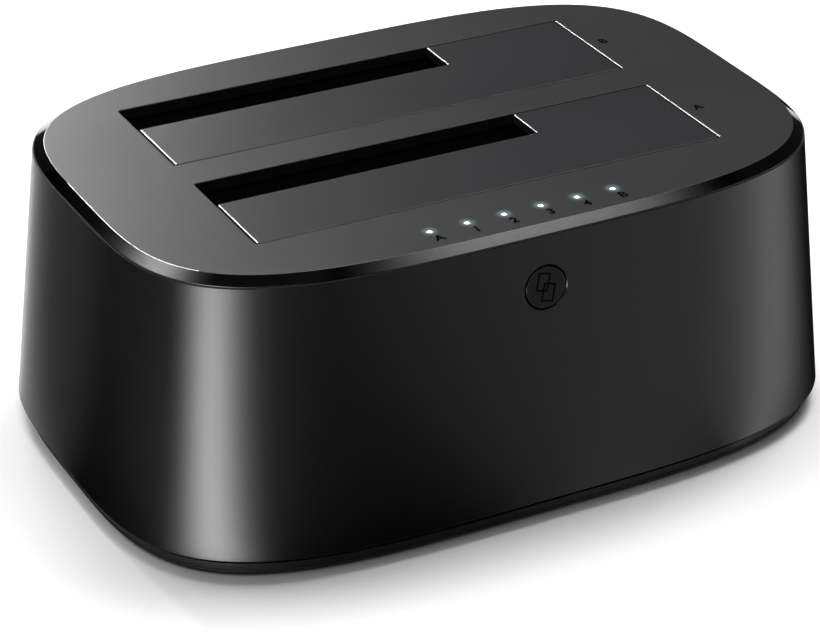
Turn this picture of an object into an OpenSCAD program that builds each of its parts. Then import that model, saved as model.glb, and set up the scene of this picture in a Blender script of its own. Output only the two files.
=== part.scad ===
// Two-bay docking station for bare hard drives, in millimetres.
// X runs along the bays, the front faces -Y and the feet stand on Z = 0.
// Bay 0 is the front bay, A, and bay 1 is the rear bay, B.

/* [Bays] */
// Length of a bay opening
bay_l = 103; // [102:0.5:120]
// Width of a bay opening
bay_w = 28.6; // [28:0.1:36]
// Length of the small-drive slot that a flap leaves open
slot_l = 71.1; // [70.5:0.1:85]
// Width of the small-drive slot
slot_w = 10.1; // [9.7:0.1:14]
// Strip of cover between the two bays
bay_land = 9.2; // [8:0.1:20]

/* [Cover] */
// Flat cover beyond each end of the bays
end_margin = 21.7; // [19:0.1:40]
// Flat cover in front of the front bay
front_margin = 16.7; // [15.5:0.1:40]
// Flat cover behind the rear bay
rear_margin = 13.2; // [12.8:0.1:40]
// Thickness of the cover's plate
plate_t = 2.4; // [2:0.1:3.2]
// Width of the bevel round the top, seen from above
bevel_run = 2.15; // [1:0.05:3.5]
// Drop of the bevel
bevel_drop = 1.7; // [0.8:0.05:2.2]
// Depth of the skirt that sits inside the shell
skirt_h = 4; // [2:0.5:8]
// Thickness of the skirt
skirt_t = 1.5; // [1:0.1:2.5]
// Diameter of the four long posts that clamp the shell to the base
post_d = 7; // [6:0.5:8]

/* [Shell and base] */
// Height from the table to the top face
body_h = 62.5; // [58:0.5:90]
// Squareness of the outline: 2 is an ellipse, more is squarer
outline_n = 3.76; // [3.4:0.02:6]
// Lean of the side wall from the vertical, in degrees
wall_lean = 5.4; // [2:0.1:9]
// Thickness of the side wall
wall_t = 2.4; // [1.8:0.1:3]
// Gap under the base that the feet leave
foot_h = 1.2; // [0.8:0.1:4]
// Height of the base band that shows under the shell
base_band = 3.65; // [3:0.05:8]
// Overhang of the shell past the base band
base_inset = 1.5; // [0.5:0.1:2]
// Height of the shadow groove between the shell and the base band
groove_h = 1.2; // [0.6:0.1:1.6]
// Depth of the shadow groove
groove_d = 0.5; // [0.3:0.05:0.7]
// Thickness of the base floor
floor_t = 2; // [1.6:0.1:3]
// Height of the rim that locates the base in the shell
rim_h = 2.6; // [1.5:0.1:3.2]
// Diameter of a rubber foot
foot_d = 12; // [9:0.5:14]

/* [Flaps] */
// Thickness of a flap
flap_t = 2; // [1.6:0.1:2.2]
// Gap at each end of a flap
flap_end_gap = 0.35; // [0.25:0.05:0.6]
// Gap along the long edges of a flap
flap_edge_gap = 0.25; // [0.2:0.05:0.4]
// Depth of the hinge axis below the top face
hinge_drop = 3.4; // [3.3:0.1:4]
// Distance of the hinge axis in front of the bay's edge
hinge_fwd = 1.1; // [0.9:0.1:1.6]
// Diameter of the hinge rod
rod_d = 1.8; // [1.4:0.1:2]
// Outside diameter of the rolled hinge barrel
barrel_d = 3.2; // [2.8:0.1:3.4]
// Wire of the torsion spring
spring_wire = 0.5; // [0.3:0.05:0.5]
// Turns of the torsion spring
spring_turns = 8; // [4:1:10]

/* [Drive guides] */
// Wall of a drive guide
guide_t = 1.6; // [1.2:0.1:2]
// Set-back of the guide's walls behind the edge of the bay
guide_ledge = 1.5; // [1.4:0.1:2]
// Height of the guide's floor above the main board
guide_rise = 4.4; // [3:0.1:8]
// Width of a guide rib
rib_w = 2; // [1.2:0.1:3]
// Length of a drive socket
socket_l = 42; // [41:0.5:46]
// Width of a drive socket
socket_w = 6.6; // [6:0.1:7]
// Height of a drive socket above the main board
socket_h = 10.6; // [9:0.1:14]

/* [Lights and button] */
// Distance of the light row from the front edge of the flat top
light_inset = 6.6; // [6:0.1:9]
// Pitch of the lights
light_pitch = 8.06; // [7:0.02:9]
// Diameter of a light pipe's tip
pipe_d = 1.3; // [1:0.1:1.8]
// Diameter of the copy button
button_d = 8.6; // [7:0.1:10]
// Gap round the copy button
button_gap = 0.3; // [0.2:0.05:0.4]
// Drop of the button's centre below the top face
button_drop = 12.3; // [12:0.1:16]
// Travel of the copy button
button_travel = 0.5; // [0.3:0.1:0.6]

/* [Boards and rear panel] */
// Length of the main board
board_l = 96; // [92:1:100]
// Width of the main board
board_w = 88; // [86:0.5:89]
// Thickness of both circuit boards
board_t = 1.6; // [1:0.1:2]
// Height of the posts under the main board
standoff_h = 4.8; // [4.6:0.1:8]
// Length of the flat panel in the rear wall
panel_l = 72; // [66:1:78]
// Height of the flat panel in the rear wall
panel_h = 17; // [16.5:0.5:22]
// Least depth of the flat panel in the rear wall
panel_sink = 0.6; // [0.3:0.1:1]
// Thickness of the flat panel
panel_t = 2.2; // [1.6:0.1:2.6]
// Place of the power inlet along the panel
inlet_x = 25; // [20:1:30]
// Place of the data socket along the panel
data_x = 3; // [0:1:6]
// Place of the power switch along the panel
switch_x = -22; // [-26:1:-18]
// Tilt of the power rocker to either side, in degrees
rocker_tilt = 8; // [4:1:9]

/* [Hidden] */

// Colours, as the photo shows them or as such pieces come
satin_black = "#1c1c1e";
matte_grey = "#3a3a3d";
dark_plastic = "#151517";
rubber_black = "#101010";
steel = "#b8bcc2";
spring_steel = "#8d9198";
board_green = "#1f4a33";
gold = "#c9a24a";
lens_white = "#e8f4f6";

// Clearances that several pieces share
slack = 0.2;
run_gap = 0.3;
pin_slack = 0.05;
press_slack = 0.02;
over = 1;

// Levels
top_z = body_h;
under_z = top_z - plate_t;
shoulder_z = top_z - bevel_drop;
seam_z = foot_h + base_band;
floor_z = foot_h + floor_t;
board_z = floor_z + standoff_h;
board_top = board_z + board_t;
guide_z = board_top + guide_rise;
guide_floor = guide_z + guide_t;
socket_top = board_top + socket_h;
hinge_z = top_z - hinge_drop;
button_z = top_z - button_drop;

// Outline of the flat top, and how far the wall stands outside it at a level
top_a = bay_l / 2 + end_margin;
top_b = (front_margin + 2 * bay_w + bay_land + rear_margin) / 2;
outline_steps = 96;
function spow(v) = sign(v) * pow(abs(v), 2 / outline_n);
function wall_out(z) = bevel_run + (shoulder_z - z) * tan(wall_lean);
function wall_x(z) = top_a + wall_out(z);
function wall_y(x, z) = (top_b + wall_out(z)) * pow(1 - pow(abs(x) / wall_x(z), outline_n), 1 / outline_n);
function ring(off, z) = [
    for (i = [0 : outline_steps - 1])
        let (t = 360 * i / outline_steps)
            [(top_a + off) * spow(cos(t)), (top_b + off) * spow(sin(t)), z]
];

// Bays
function bay_front(i) = -top_b + front_margin + i * (bay_w + bay_land);
function bay_rear(i) = bay_front(i) + bay_w;
function bay_mid(i) = bay_front(i) + bay_w / 2;
slot_end = -bay_l / 2 + slot_l;

// Drive guides
guide_x = bay_l / 2 + guide_ledge + guide_t;
hinge_room = 1.5;
guide_front_drop = hinge_drop + barrel_d / 2 + hinge_room;
rib_drop = 12;
rib_pitch = 21;
end_rib_y = 6;
tab_l = 7.4;
tab_w = 8;
tab_t = 2;
guide_boss_d = 5.6;
guide_boss_h = 6;
guide_boss_x = guide_x + tab_l / 2 + slack;

// Hinges
barrel_r = barrel_d / 2;
function hinge_y(i) = bay_front(i) - hinge_fwd;
flap_x = bay_l / 2 - flap_end_gap;
hinge_boss_x = guide_x + run_gap;
hinge_boss_t = 3;
hinge_boss_w = 4.8;
spring_pitch = 1;
spring_x = slot_end + 8;
coil_l = spring_turns * spring_pitch;
spring_l = coil_l + spring_wire;
spring_r = rod_d / 2 + slack + spring_wire / 2;
spring_room = 0.5;
spring_rings = 10;
spring_leg = 6;
leg_gap = 0.08;
flap_leg_z = hinge_drop - flap_t - spring_wire / 2 - leg_gap;
cover_leg_z = barrel_r + run_gap - leg_gap;
lip = 1.1;
lip_t = 1;
lip_inset = 3;

// Posts and screws
post_gap = 1.3;
post_x = guide_x + post_gap + post_d / 2;
post_reach = cos(45) * post_d / 2;
post_y = wall_y(post_x + post_reach, shoulder_z) - wall_t - post_reach - post_gap;
corners = [[1, 1], [-1, 1], [-1, -1], [1, -1]];
base_boss_d = 9;
base_boss_h = 2;
foot_sink = 0.8;
foot_slack = 0.1;
screw_head_h = 1.4;
base_seat_z = foot_h + foot_sink + screw_head_h;
base_screw_d = 2.9;
base_screw_l = 12;
base_head_d = 5.4;
small_screw_d = 2.2;
small_screw_l = 6;
small_head_d = 4;

// Lights, button and the upright board behind them
light_y = -top_b + light_inset;
light_count = 6;
function light_x(k) = (k - (light_count - 1) / 2) * light_pitch;
indicator_back = 1.5;
indicator_y = light_y + indicator_back;
indicator_end = 12.85;
indicator_l = (light_count - 1) * light_pitch + 2 * indicator_end;
led_room = 2.8;
indicator_top = under_z - led_room;
indicator_below = 5.2;
indicator_z = button_z - indicator_below;
indicator_screw_z = (indicator_z + indicator_top) / 2;
indicator_post_in = 6;
indicator_post_x = indicator_l / 2 - indicator_post_in;
indicator_post_l = 6;
indicator_post_w = 5;
indicator_post_rise = 2;
led_size = [2, 1.9, 1.2];
pipe_flange_d = 2.6;
pipe_flange_t = 1;
button_hole_d = button_d + 2 * button_gap;
flange_lap = 0.8;
button_flange_d = button_hole_d + 2 * flange_lap;
button_flange_t = 1;
button_flange_y = -(wall_y(0, button_z + button_flange_d / 2) - wall_t / cos(wall_lean)) + run_gap;
button_sink = 0.08;
stem_d = 3.2;
switch_size = 6;
switch_h = 3.5;
plunger_d = 3.5;
plunger_out = 1.5;
plunger_in = 1.4;
plunger_tip = indicator_y - switch_h - plunger_out;

// Rear panel and what sits in it
panel_below = 1.4;
panel_z = board_top - panel_below;
panel_y = wall_y(panel_l / 2, panel_z + panel_h) - panel_sink;
board_gap = 1;
board_rear = panel_y - panel_t - board_gap;
data_size = [12, 13, 12.4];
data_wall = 0.6;
data_depth = 9;
inlet_size = [9, 10.4, 10.8];
inlet_r = 4;
inlet_bore_r = 3.2;
inlet_depth = 9;
inlet_rise = 6.4;
inlet_pin_r = 1;
switch_bezel = [15, 1.2, 10.4];
switch_case = [13, 8, 8.4];
switch_rise = 7;
switch_z = board_top + switch_rise;
rocker_pocket = [11.6, 6, 6.8];
rocker_half = 5.2;
rocker_w = 6.4;
rocker_pivot_r = 1;
rocker_pivot_in = 1.5;
pivot_lap = 0.7;
rocker_pivot_l = rocker_pocket[2] + 2 * pivot_lap;

// Main board
standoff_d = 5;
standoff_inset = 4;
function standoff_at(c) = [c[0] * (board_l / 2 - standoff_inset),
    board_rear - board_w / 2 + c[1] * (board_w / 2 - standoff_inset)];
socket_in = 5;
socket_x = -bay_l / 2 + socket_in;
socket_back = 3.8;
function socket_y(i) = bay_rear(i) - socket_back;
socket_key = 1.6;
key_w = 3.4;
blade_w = 2.2;
blade_depth = 5.6;
contact_pitch = 1.27;
power_contacts = 15;
signal_contacts = 7;
blade_gap = 2.6;
power_l = power_contacts * contact_pitch + socket_key;
signal_l = signal_contacts * contact_pitch + socket_key;
blade_x = socket_x + (socket_l - power_l - signal_l - blade_gap) / 2;
contact_size = [0.7, 0.35, 4.6];

// Parts on the main board: columns to the right of the drive sockets, one row in each bay,
// one row under the land between the bays, and all of them lower than the guides
land_mid = (bay_rear(0) + bay_front(1)) / 2;
part_gap = 0.8;
part_h = guide_rise - part_gap;
chip_sizes = [10, 10, 6];
chip_gap = 16.5;
chip_col = socket_x + socket_l + chip_gap;
chip_row = 8;
hub_in = 14;
hub_row = -5.6;
function chip_at(k) = k < 2 ? [chip_col, bay_front(k) + chip_row] : [board_l / 2 - hub_in, land_mid + hub_row];
can_r = 3;
can_pitch = 12;
can_in = 12;
can_row = 1.6;
can_count = 3;
function can_at(i, k) = [-board_l / 2 + can_in + k * can_pitch, bay_front(i) + can_row];
drum_r = 3.2;
drum_in = 12;
drum_row = 7.6;
function drum_at(i) = [board_l / 2 - drum_in, bay_front(i) + drum_row];
crystal_in = 20;
crystal_row = -3.6;

// Ribbon between the boards
ribbon_w = 7;
ribbon_t = 0.4;
ribbon_bow = 2.4;
ribbon_steps = 16;
header_size = [9, 2.4, 4];
header_gap = 1.5;
ribbon_x = indicator_post_x - (indicator_post_l + header_size[0]) / 2 - header_gap;
header_y = indicator_y + board_t + header_size[1] / 2;
ribbon_z0 = board_top + header_size[2];
header_rise = 0.6;
ribbon_z1 = indicator_z + header_rise;

// Box between two opposite corners
module block(low, high) {
    translate(low) cube(high - low);
}

// Box that is centred in X and Z and starts at a place along Y
module slab(size, y0) {
    translate([-size[0] / 2, y0, -size[2] / 2]) cube(size);
}

// Solid through a list of [offset, level] rings, capped at both ends or closed on itself
module loft(profile, capped = true) {
    steps = outline_steps;
    last = len(profile) - 1;
    bands = capped ? last : last + 1;
    points = [for (p = profile) each ring(p[0], p[1])];
    sides = [
        for (k = [0 : bands - 1], i = [0 : steps - 1])
            let (up = k * steps, low = ((k + 1) % (last + 1)) * steps, j = (i + 1) % steps)
                each [[up + i, up + j, low + j], [up + i, low + j, low + i]]
    ];
    first_cap = [for (i = [steps - 1 : -1 : 0]) i];
    last_cap = [for (i = [0 : steps - 1]) last * steps + i];
    polyhedron(points, capped ? concat(sides, [first_cap, last_cap]) : sides, convexity = 8);
}

// Pan-head screw standing along +Z, with the underside of its head at the origin
module screw(d, length, head_d) {
    recess = 0.5 * head_d;
    blade = 0.16 * head_d;
    difference() {
        union() {
            cylinder(d = d, h = length, $fn = 32);
            translate([0, 0, -screw_head_h]) cylinder(d = head_d, h = screw_head_h, $fn = 40);
        }
        for (turn = [0, 90])
            rotate(turn)
                block([-recess / 2, -blade / 2, -screw_head_h - over],
                    [recess / 2, blade / 2, -screw_head_h / 2]);
    }
}

// Flat outline, drawn as [y, z], drawn out along X between two places
module along_x(x0, x1) {
    translate([x0, 0, 0])
        rotate([90, 0, 90])
            linear_extrude(x1 - x0) children();
}

// Round bar along X between two places
module bar_x(x0, x1, d, y, z) {
    translate([x0, y, z]) rotate([0, 90, 0]) cylinder(d = d, h = x1 - x0, $fn = 48);
}

// Round bar along Y between two places
module bar_y(y0, y1, d, x, z) {
    translate([x, y0, z]) rotate([-90, 0, 0]) cylinder(d = d, h = y1 - y0, $fn = 64);
}

// Tapered sleeve between the base and the cover
module sleeve() {
    loft([
        [wall_out(shoulder_z), shoulder_z],
        [wall_out(seam_z), seam_z],
        [wall_out(seam_z) - wall_t, seam_z],
        [wall_out(shoulder_z) - wall_t, shoulder_z]
    ], capped = false);
}

// Backing of the flat rear panel, kept inside the middle of the wall
module panel_backing() {
    backing = 2.4;
    intersection() {
        block([-panel_l / 2 - backing, panel_y - panel_t, seam_z + rim_h + slack],
            [panel_l / 2 + backing, panel_y + 3 * wall_t, panel_z + panel_h + backing]);
        loft([
            [wall_out(shoulder_z) - wall_t / 2, shoulder_z],
            [wall_out(seam_z) - wall_t / 2, seam_z]
        ]);
    }
}

module body_shell() {
    far = panel_y + 3 * wall_t;
    near = panel_y - panel_t - over;
    color(satin_black)
    difference() {
        union() {
            sleeve();
            panel_backing();
        }
        block([-panel_l / 2, panel_y, panel_z], [panel_l / 2, far, panel_z + panel_h]);
        bar_y(-top_b - wall_out(seam_z), button_flange_y + over, button_hole_d, 0, button_z);
        block([data_x - data_size[0] / 2 - slack, near, board_top - slack],
            [data_x + data_size[0] / 2 + slack, far, board_top + data_size[2] + slack]);
        bar_y(near, far, 2 * (inlet_r + slack), inlet_x, board_top + inlet_rise);
        block([switch_x - switch_case[0] / 2 - slack, near, switch_z - switch_case[2] / 2 - slack],
            [switch_x + switch_case[0] / 2 + slack, far, switch_z + switch_case[2] / 2 + slack]);
    }
}

// Recess under the cover that a rolled hinge turns in
module hinge_recess(i) {
    y = hinge_y(i);
    room = barrel_r + run_gap;
    block([-guide_x - run_gap, y - room, under_z - over], [guide_x + run_gap, bay_mid(i), hinge_z + room]);
}

// Blocks under the cover that hold the ends of a hinge rod
module hinge_bosses(i) {
    for (side = [-1, 1])
        translate([side * (hinge_boss_x + hinge_boss_t / 2), hinge_y(i), 0])
            block([-hinge_boss_t / 2, -hinge_boss_w / 2, hinge_z - hinge_boss_w / 2],
                [hinge_boss_t / 2, hinge_boss_w / 2, under_z + over / 2]);
}

module top_cover() {
    skirt_off = bevel_run - wall_t - slack;
    skirt_z = shoulder_z - skirt_h;
    post_z = floor_z + base_boss_h;
    color(matte_grey)
    difference() {
        union() {
            difference() {
                loft([
                    [0, top_z],
                    [bevel_run, shoulder_z],
                    [skirt_off, shoulder_z],
                    [skirt_off, skirt_z],
                    [skirt_off - skirt_t, skirt_z],
                    [skirt_off - skirt_t, under_z]
                ]);
                for (i = [0, 1])
                    hinge_recess(i);
            }
            for (i = [0, 1], side = [-1, 1])
                translate([side * guide_boss_x, bay_mid(i), under_z - guide_boss_h])
                    cylinder(d = guide_boss_d, h = guide_boss_h + over / 2, $fn = 40);
            for (i = [0, 1])
                hinge_bosses(i);
            for (c = corners)
                translate([c[0] * post_x, c[1] * post_y, post_z])
                    cylinder(d = post_d, h = under_z - post_z + over / 2, $fn = 48);
            for (side = [-1, 1])
                translate([side * indicator_post_x, indicator_y, 0])
                    block([-indicator_post_l / 2, -indicator_post_w, indicator_z + indicator_post_rise],
                        [indicator_post_l / 2, 0, under_z + over / 2]);
        }
        for (i = [0, 1])
            block([-bay_l / 2, bay_front(i), under_z - over], [bay_l / 2, bay_rear(i), top_z + over]);
        for (i = [0, 1])
            bar_x(-hinge_boss_x - hinge_boss_t - over, hinge_boss_x + hinge_boss_t + over,
                rod_d + 2 * press_slack, hinge_y(i), hinge_z);
        for (k = [0 : light_count - 1])
            translate([light_x(k), light_y, under_z - over])
                cylinder(d = pipe_d + 2 * press_slack, h = plate_t + 2 * over, $fn = 32);
        for (i = [0, 1], side = [-1, 1])
            translate([side * guide_boss_x, bay_mid(i), under_z - guide_boss_h - over])
                cylinder(d = small_screw_d + 2 * press_slack, h = small_screw_l + over, $fn = 32);
        for (c = corners)
            translate([c[0] * post_x, c[1] * post_y, post_z - over])
                cylinder(d = base_screw_d + 2 * press_slack, h = base_screw_l + over, $fn = 32);
        for (side = [-1, 1])
            bar_y(indicator_y - small_screw_l + board_t, indicator_y + over, small_screw_d + 2 * press_slack,
                side * indicator_post_x, indicator_screw_z);
    }
}

module base_plate() {
    band = wall_out(seam_z) - base_inset;
    edge = 0.9;
    rim = wall_out(seam_z + rim_h) - wall_t - slack;
    rim_t = 1.5;
    vent_l = 20;
    vent_w = 2;
    vent_pitch = 5;
    vent_half = 4;
    color(satin_black)
    difference() {
        union() {
            loft([
                [rim - rim_t, floor_z],
                [rim - rim_t, seam_z + rim_h],
                [rim, seam_z + rim_h],
                [rim, seam_z],
                [band - groove_d, seam_z],
                [band - groove_d, seam_z - groove_h],
                [band, seam_z - groove_h],
                [band, foot_h + edge],
                [band - 0.3 * edge, foot_h + 0.3 * edge],
                [band - edge, foot_h]
            ]);
            for (c = corners)
                translate([c[0] * post_x, c[1] * post_y, foot_h + floor_t / 2])
                    cylinder(d = base_boss_d, h = floor_t / 2 + base_boss_h, $fn = 48);
            for (c = corners)
                translate(concat(standoff_at(c), floor_z - over / 2))
                    cylinder(d = standoff_d, h = standoff_h + over / 2, $fn = 40);
        }
        for (c = corners)
            translate([c[0] * post_x, c[1] * post_y, 0]) {
                cylinder(d = foot_d + 2 * foot_slack, h = foot_h + foot_sink, $fn = 64);
                cylinder(d = base_head_d + 2 * slack, h = base_seat_z, $fn = 40);
                cylinder(d = base_screw_d + 2 * slack, h = floor_z + base_boss_h + over, $fn = 32);
            }
        for (c = corners)
            translate(concat(standoff_at(c), board_top - small_screw_l))
                cylinder(d = small_screw_d + 2 * press_slack, h = small_screw_l, $fn = 32);
        for (k = [-vent_half : vent_half], side = [-1, 1])
            translate([k * vent_pitch, side * vent_l, 0])
                block([-vent_w / 2, -vent_l / 2, 0], [vent_w / 2, vent_l / 2, floor_z + over]);
    }
}

module rubber_feet() {
    round = 0.5;
    r = foot_d / 2;
    tall = foot_h + foot_sink;
    color(rubber_black)
    for (c = corners)
        translate([c[0] * post_x, c[1] * post_y, 0])
            rotate_extrude($fn = 64)
                polygon([[0, 0], [r - round, 0], [r, round], [r, tall], [0, tall]]);
}

module base_screws() {
    color(steel)
    for (c = corners)
        translate([c[0] * post_x, c[1] * post_y, base_seat_z])
            screw(base_screw_d, base_screw_l, base_head_d);
}

// Upright rib with a sloped lead-in at its top, standing out along +Y from the origin
module guide_rib(depth, length) {
    along_x(-rib_w / 2, rib_w / 2)
        polygon([[0, 0], [depth, 0], [depth, length - 2 * depth], [0, length]]);
}

// Well that leads a drive from the cover down to its socket
module bay_guide(i) {
    in_x = guide_x - guide_t;
    y0 = bay_front(i) - guide_ledge;
    y1 = bay_rear(i) + guide_ledge;
    tab_z = under_z - guide_boss_h;
    tab_root = guide_boss_x - guide_x + guide_t / 2;
    rib_l = under_z - rib_drop - guide_floor + over / 2;
    front_rib = guide_ledge + hinge_drop - hinge_fwd;
    front_rib_l = hinge_z - hinge_fwd - bay_w - lip - rib_drop / 4 - guide_floor + over / 2;
    color(dark_plastic)
    difference() {
        union() {
            difference() {
                block([-guide_x, y0 - guide_t, guide_z], [guide_x, y1 + guide_t, under_z]);
                block([-in_x, y0, guide_floor], [in_x, y1, under_z + over]);
            }
            for (k = [-2 : 2])
                translate([k * rib_pitch, 0, guide_floor - over / 2]) {
                    translate([0, y1, 0]) rotate(180) guide_rib(guide_ledge, rib_l);
                    translate([0, y0, 0]) guide_rib(front_rib, front_rib_l);
                }
            for (end = [-1, 1], side = [-1, 1])
                translate([side * in_x, bay_mid(i) + end * end_rib_y, guide_floor - over / 2])
                    rotate(side * 90) guide_rib(guide_ledge, rib_l);
            for (side = [-1, 1])
                translate([side * guide_boss_x, bay_mid(i), 0])
                    mirror([side < 0 ? 1 : 0, 0, 0])
                        block([-tab_root, -tab_w / 2, tab_z - tab_t], [tab_l / 2, tab_w / 2, tab_z]);
        }
        block([-guide_x - over, y0 - guide_t - over, top_z - guide_front_drop],
            [guide_x + over, bay_front(i) + run_gap, top_z]);
        block([socket_x - 2 * slack, socket_y(i) - socket_w / 2 - 2 * slack, guide_z - over],
            [socket_x + socket_l + 2 * slack, socket_y(i) + socket_w / 2 + 2 * slack, guide_floor + over]);
        for (side = [-1, 1])
            translate([side * guide_boss_x, bay_mid(i), tab_z - tab_t - over])
                cylinder(d = small_screw_d + 2 * slack, h = tab_t + 2 * over, $fn = 32);
    }
}

module bay_guide_a() {
    bay_guide(0);
}

module bay_guide_b() {
    bay_guide(1);
}

module guide_screws() {
    color(steel)
    for (i = [0, 1], side = [-1, 1])
        translate([side * guide_boss_x, bay_mid(i), under_z - guide_boss_h - tab_t])
            screw(small_screw_d, small_screw_l, small_head_d);
}

// L-shaped door with a rolled hinge under its front edge and a stop lip under the cover
module flap(i) {
    y0 = bay_front(i) + flap_edge_gap;
    y1 = bay_rear(i) - flap_edge_gap;
    step = bay_rear(i) - slot_w;
    flap_z = top_z - flap_t;
    lip_y = bay_rear(i) + lip;
    lip_z = under_z - lip_t - slack / 2;
    web = 1.2;
    color(matte_grey)
    difference() {
        union() {
            translate([0, 0, flap_z])
                linear_extrude(flap_t)
                    polygon([[-flap_x, y0], [flap_x, y0], [flap_x, y1],
                        [slot_end, y1], [slot_end, step], [-flap_x, step]]);
            bar_x(-flap_x, flap_x, barrel_d, hinge_y(i), hinge_z);
            along_x(-flap_x, flap_x)
                polygon([[hinge_y(i), hinge_z], [y0 + web, hinge_z], [y0 + web, flap_z + flap_t / 2],
                    [y0, flap_z + flap_t / 2], [y0, flap_z], [hinge_y(i), flap_z]]);
            along_x(slot_end + lip_inset, flap_x - lip_inset)
                polygon([[y1 - lip_inset, lip_z], [lip_y, lip_z], [lip_y, lip_z + lip_t],
                    [y1, lip_z + lip_t], [y1, flap_z + flap_t / 2], [y1 - lip_inset, flap_z + flap_t / 2]]);
        }
        bar_x(-flap_x - over, flap_x + over, rod_d + 2 * pin_slack, hinge_y(i), hinge_z);
        along_x(spring_x - spring_room, spring_x + spring_l + spring_room)
            polygon([[hinge_y(i) - barrel_d, hinge_z - barrel_d], [y0 + 2 * web, hinge_z - barrel_d],
                [y0 + 2 * web, flap_z], [y0, flap_z], [y0, top_z], [hinge_y(i) - barrel_d, top_z]]);
    }
}

module flap_a() {
    flap(0);
}

module flap_b() {
    flap(1);
}

module hinge_rod(i) {
    reach = hinge_boss_x + hinge_boss_t;
    color(steel)
    bar_x(-reach, reach, rod_d, hinge_y(i), hinge_z);
}

module hinge_rod_a() {
    hinge_rod(0);
}

module hinge_rod_b() {
    hinge_rod(1);
}

// Wire along a list of points in which no stretch runs straight along X
module wire(path, d, sides = 6) {
    last = len(path) - 1;
    function along(k) = path[min(k + 1, last)] - path[max(k - 1, 0)];
    function unit(v) = v / norm(v);
    points = [
        for (k = [0 : last])
            let (t = unit(along(k)), u = unit([1, 0, 0] - t[0] * t), v = cross(t, u))
                for (s = [0 : sides - 1])
                    path[k] + d / 2 * (cos(360 * s / sides) * u + sin(360 * s / sides) * v)
    ];
    walls = [
        for (k = [0 : last - 1], s = [0 : sides - 1])
            let (a = k * sides, b = a + sides, n = (s + 1) % sides)
                each [[a + s, b + n, a + n], [a + s, b + s, b + n]]
    ];
    start_cap = [for (s = [0 : sides - 1]) s];
    end_cap = [for (s = [sides - 1 : -1 : 0]) last * sides + s];
    polyhedron(points, concat(walls, [start_cap, end_cap]));
}

// Torsion spring round the rod: one leg under the flap, one against the recess of the cover
function spring_path() = concat(
    [[0, -spring_r, cover_leg_z]],
    [for (k = [0 : spring_turns * spring_rings - spring_rings / 4])
        let (turn = k / spring_rings)
            [spring_pitch * turn, -spring_r * cos(360 * turn), -spring_r * sin(360 * turn)]],
    [[coil_l, spring_r, flap_leg_z], [coil_l, spring_leg, flap_leg_z]]
);

module flap_spring(i) {
    color(spring_steel)
    translate([spring_x + spring_wire / 2, hinge_y(i), hinge_z])
        wire(spring_path(), spring_wire);
}

module flap_spring_a() {
    flap_spring(0);
}

module flap_spring_b() {
    flap_spring(1);
}

module main_board() {
    color(board_green)
    difference() {
        block([-board_l / 2, board_rear - board_w, board_z], [board_l / 2, board_rear, board_top]);
        for (c = corners)
            translate(concat(standoff_at(c), board_z - over))
                cylinder(d = small_screw_d + 2 * slack, h = board_t + 2 * over, $fn = 32);
    }
}

module board_screws() {
    color(steel)
    for (c = corners)
        translate(concat(standoff_at(c), board_top))
            mirror([0, 0, 1]) screw(small_screw_d, small_screw_l, small_head_d);
}

// Upright socket with one keyed slot for power and one for data
module drive_socket(i) {
    y = socket_y(i);
    starts = [blade_x, blade_x + power_l + blade_gap];
    lengths = [power_l, signal_l];
    lead = 1;
    color(dark_plastic)
    difference() {
        block([socket_x, y - socket_w / 2, board_top], [socket_x + socket_l, y + socket_w / 2, socket_top]);
        for (k = [0, 1])
            translate([starts[k], y, socket_top - blade_depth]) {
                block([0, -blade_w / 2, 0], [lengths[k], blade_w / 2, blade_depth + over]);
                block([0, -blade_w / 2, 0], [socket_key, key_w - blade_w / 2, blade_depth + over]);
            }
        for (side = [-1, 1])
            translate([socket_x, y + side * socket_w / 2, socket_top])
                rotate([45, 0, 0])
                    block([-over, -lead / 2, -lead / 2], [socket_l + over, lead / 2, lead / 2]);
    }
}

module drive_socket_a() {
    drive_socket(0);
}

module drive_socket_b() {
    drive_socket(1);
}

// Contacts on the front wall of both slots
module socket_contacts(i) {
    starts = [blade_x + socket_key, blade_x + power_l + blade_gap + socket_key];
    counts = [power_contacts, signal_contacts];
    color(gold)
    translate([-contact_size[0] / 2, socket_y(i) - blade_w / 2, socket_top - blade_depth])
        for (k = [0, 1], n = [0 : counts[k] - 1])
            translate([starts[k] + (n + 0.5) * contact_pitch, 0, 0]) cube(contact_size);
}

module socket_contacts_a() {
    socket_contacts(0);
}

module socket_contacts_b() {
    socket_contacts(1);
}

module indicator_board() {
    color(board_green)
    difference() {
        block([-indicator_l / 2, indicator_y, indicator_z],
            [indicator_l / 2, indicator_y + board_t, indicator_top]);
        for (side = [-1, 1])
            bar_y(indicator_y - over, indicator_y + board_t + over, small_screw_d + 2 * slack,
                side * indicator_post_x, indicator_screw_z);
    }
}

module indicator_screws() {
    color(steel)
    for (side = [-1, 1])
        translate([side * indicator_post_x, indicator_y + board_t, indicator_screw_z])
            rotate([90, 0, 0]) screw(small_screw_d, small_screw_l, small_head_d);
}

module indicator_leds() {
    color(lens_white)
    for (k = [0 : light_count - 1])
        translate([light_x(k) - led_size[0] / 2, indicator_y - led_size[1], indicator_top - led_size[2]])
            cube(led_size);
}

// Clear rods that carry the light from the upright board to the top face
module light_pipes() {
    color(lens_white)
    for (k = [0 : light_count - 1])
        translate([light_x(k), light_y, 0]) {
            translate([0, 0, indicator_top + slack])
                cylinder(d = pipe_d, h = top_z - indicator_top - slack, $fn = 32);
            translate([0, 0, under_z - pipe_flange_t])
                cylinder(d = pipe_flange_d, h = pipe_flange_t, $fn = 32);
        }
}

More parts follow.
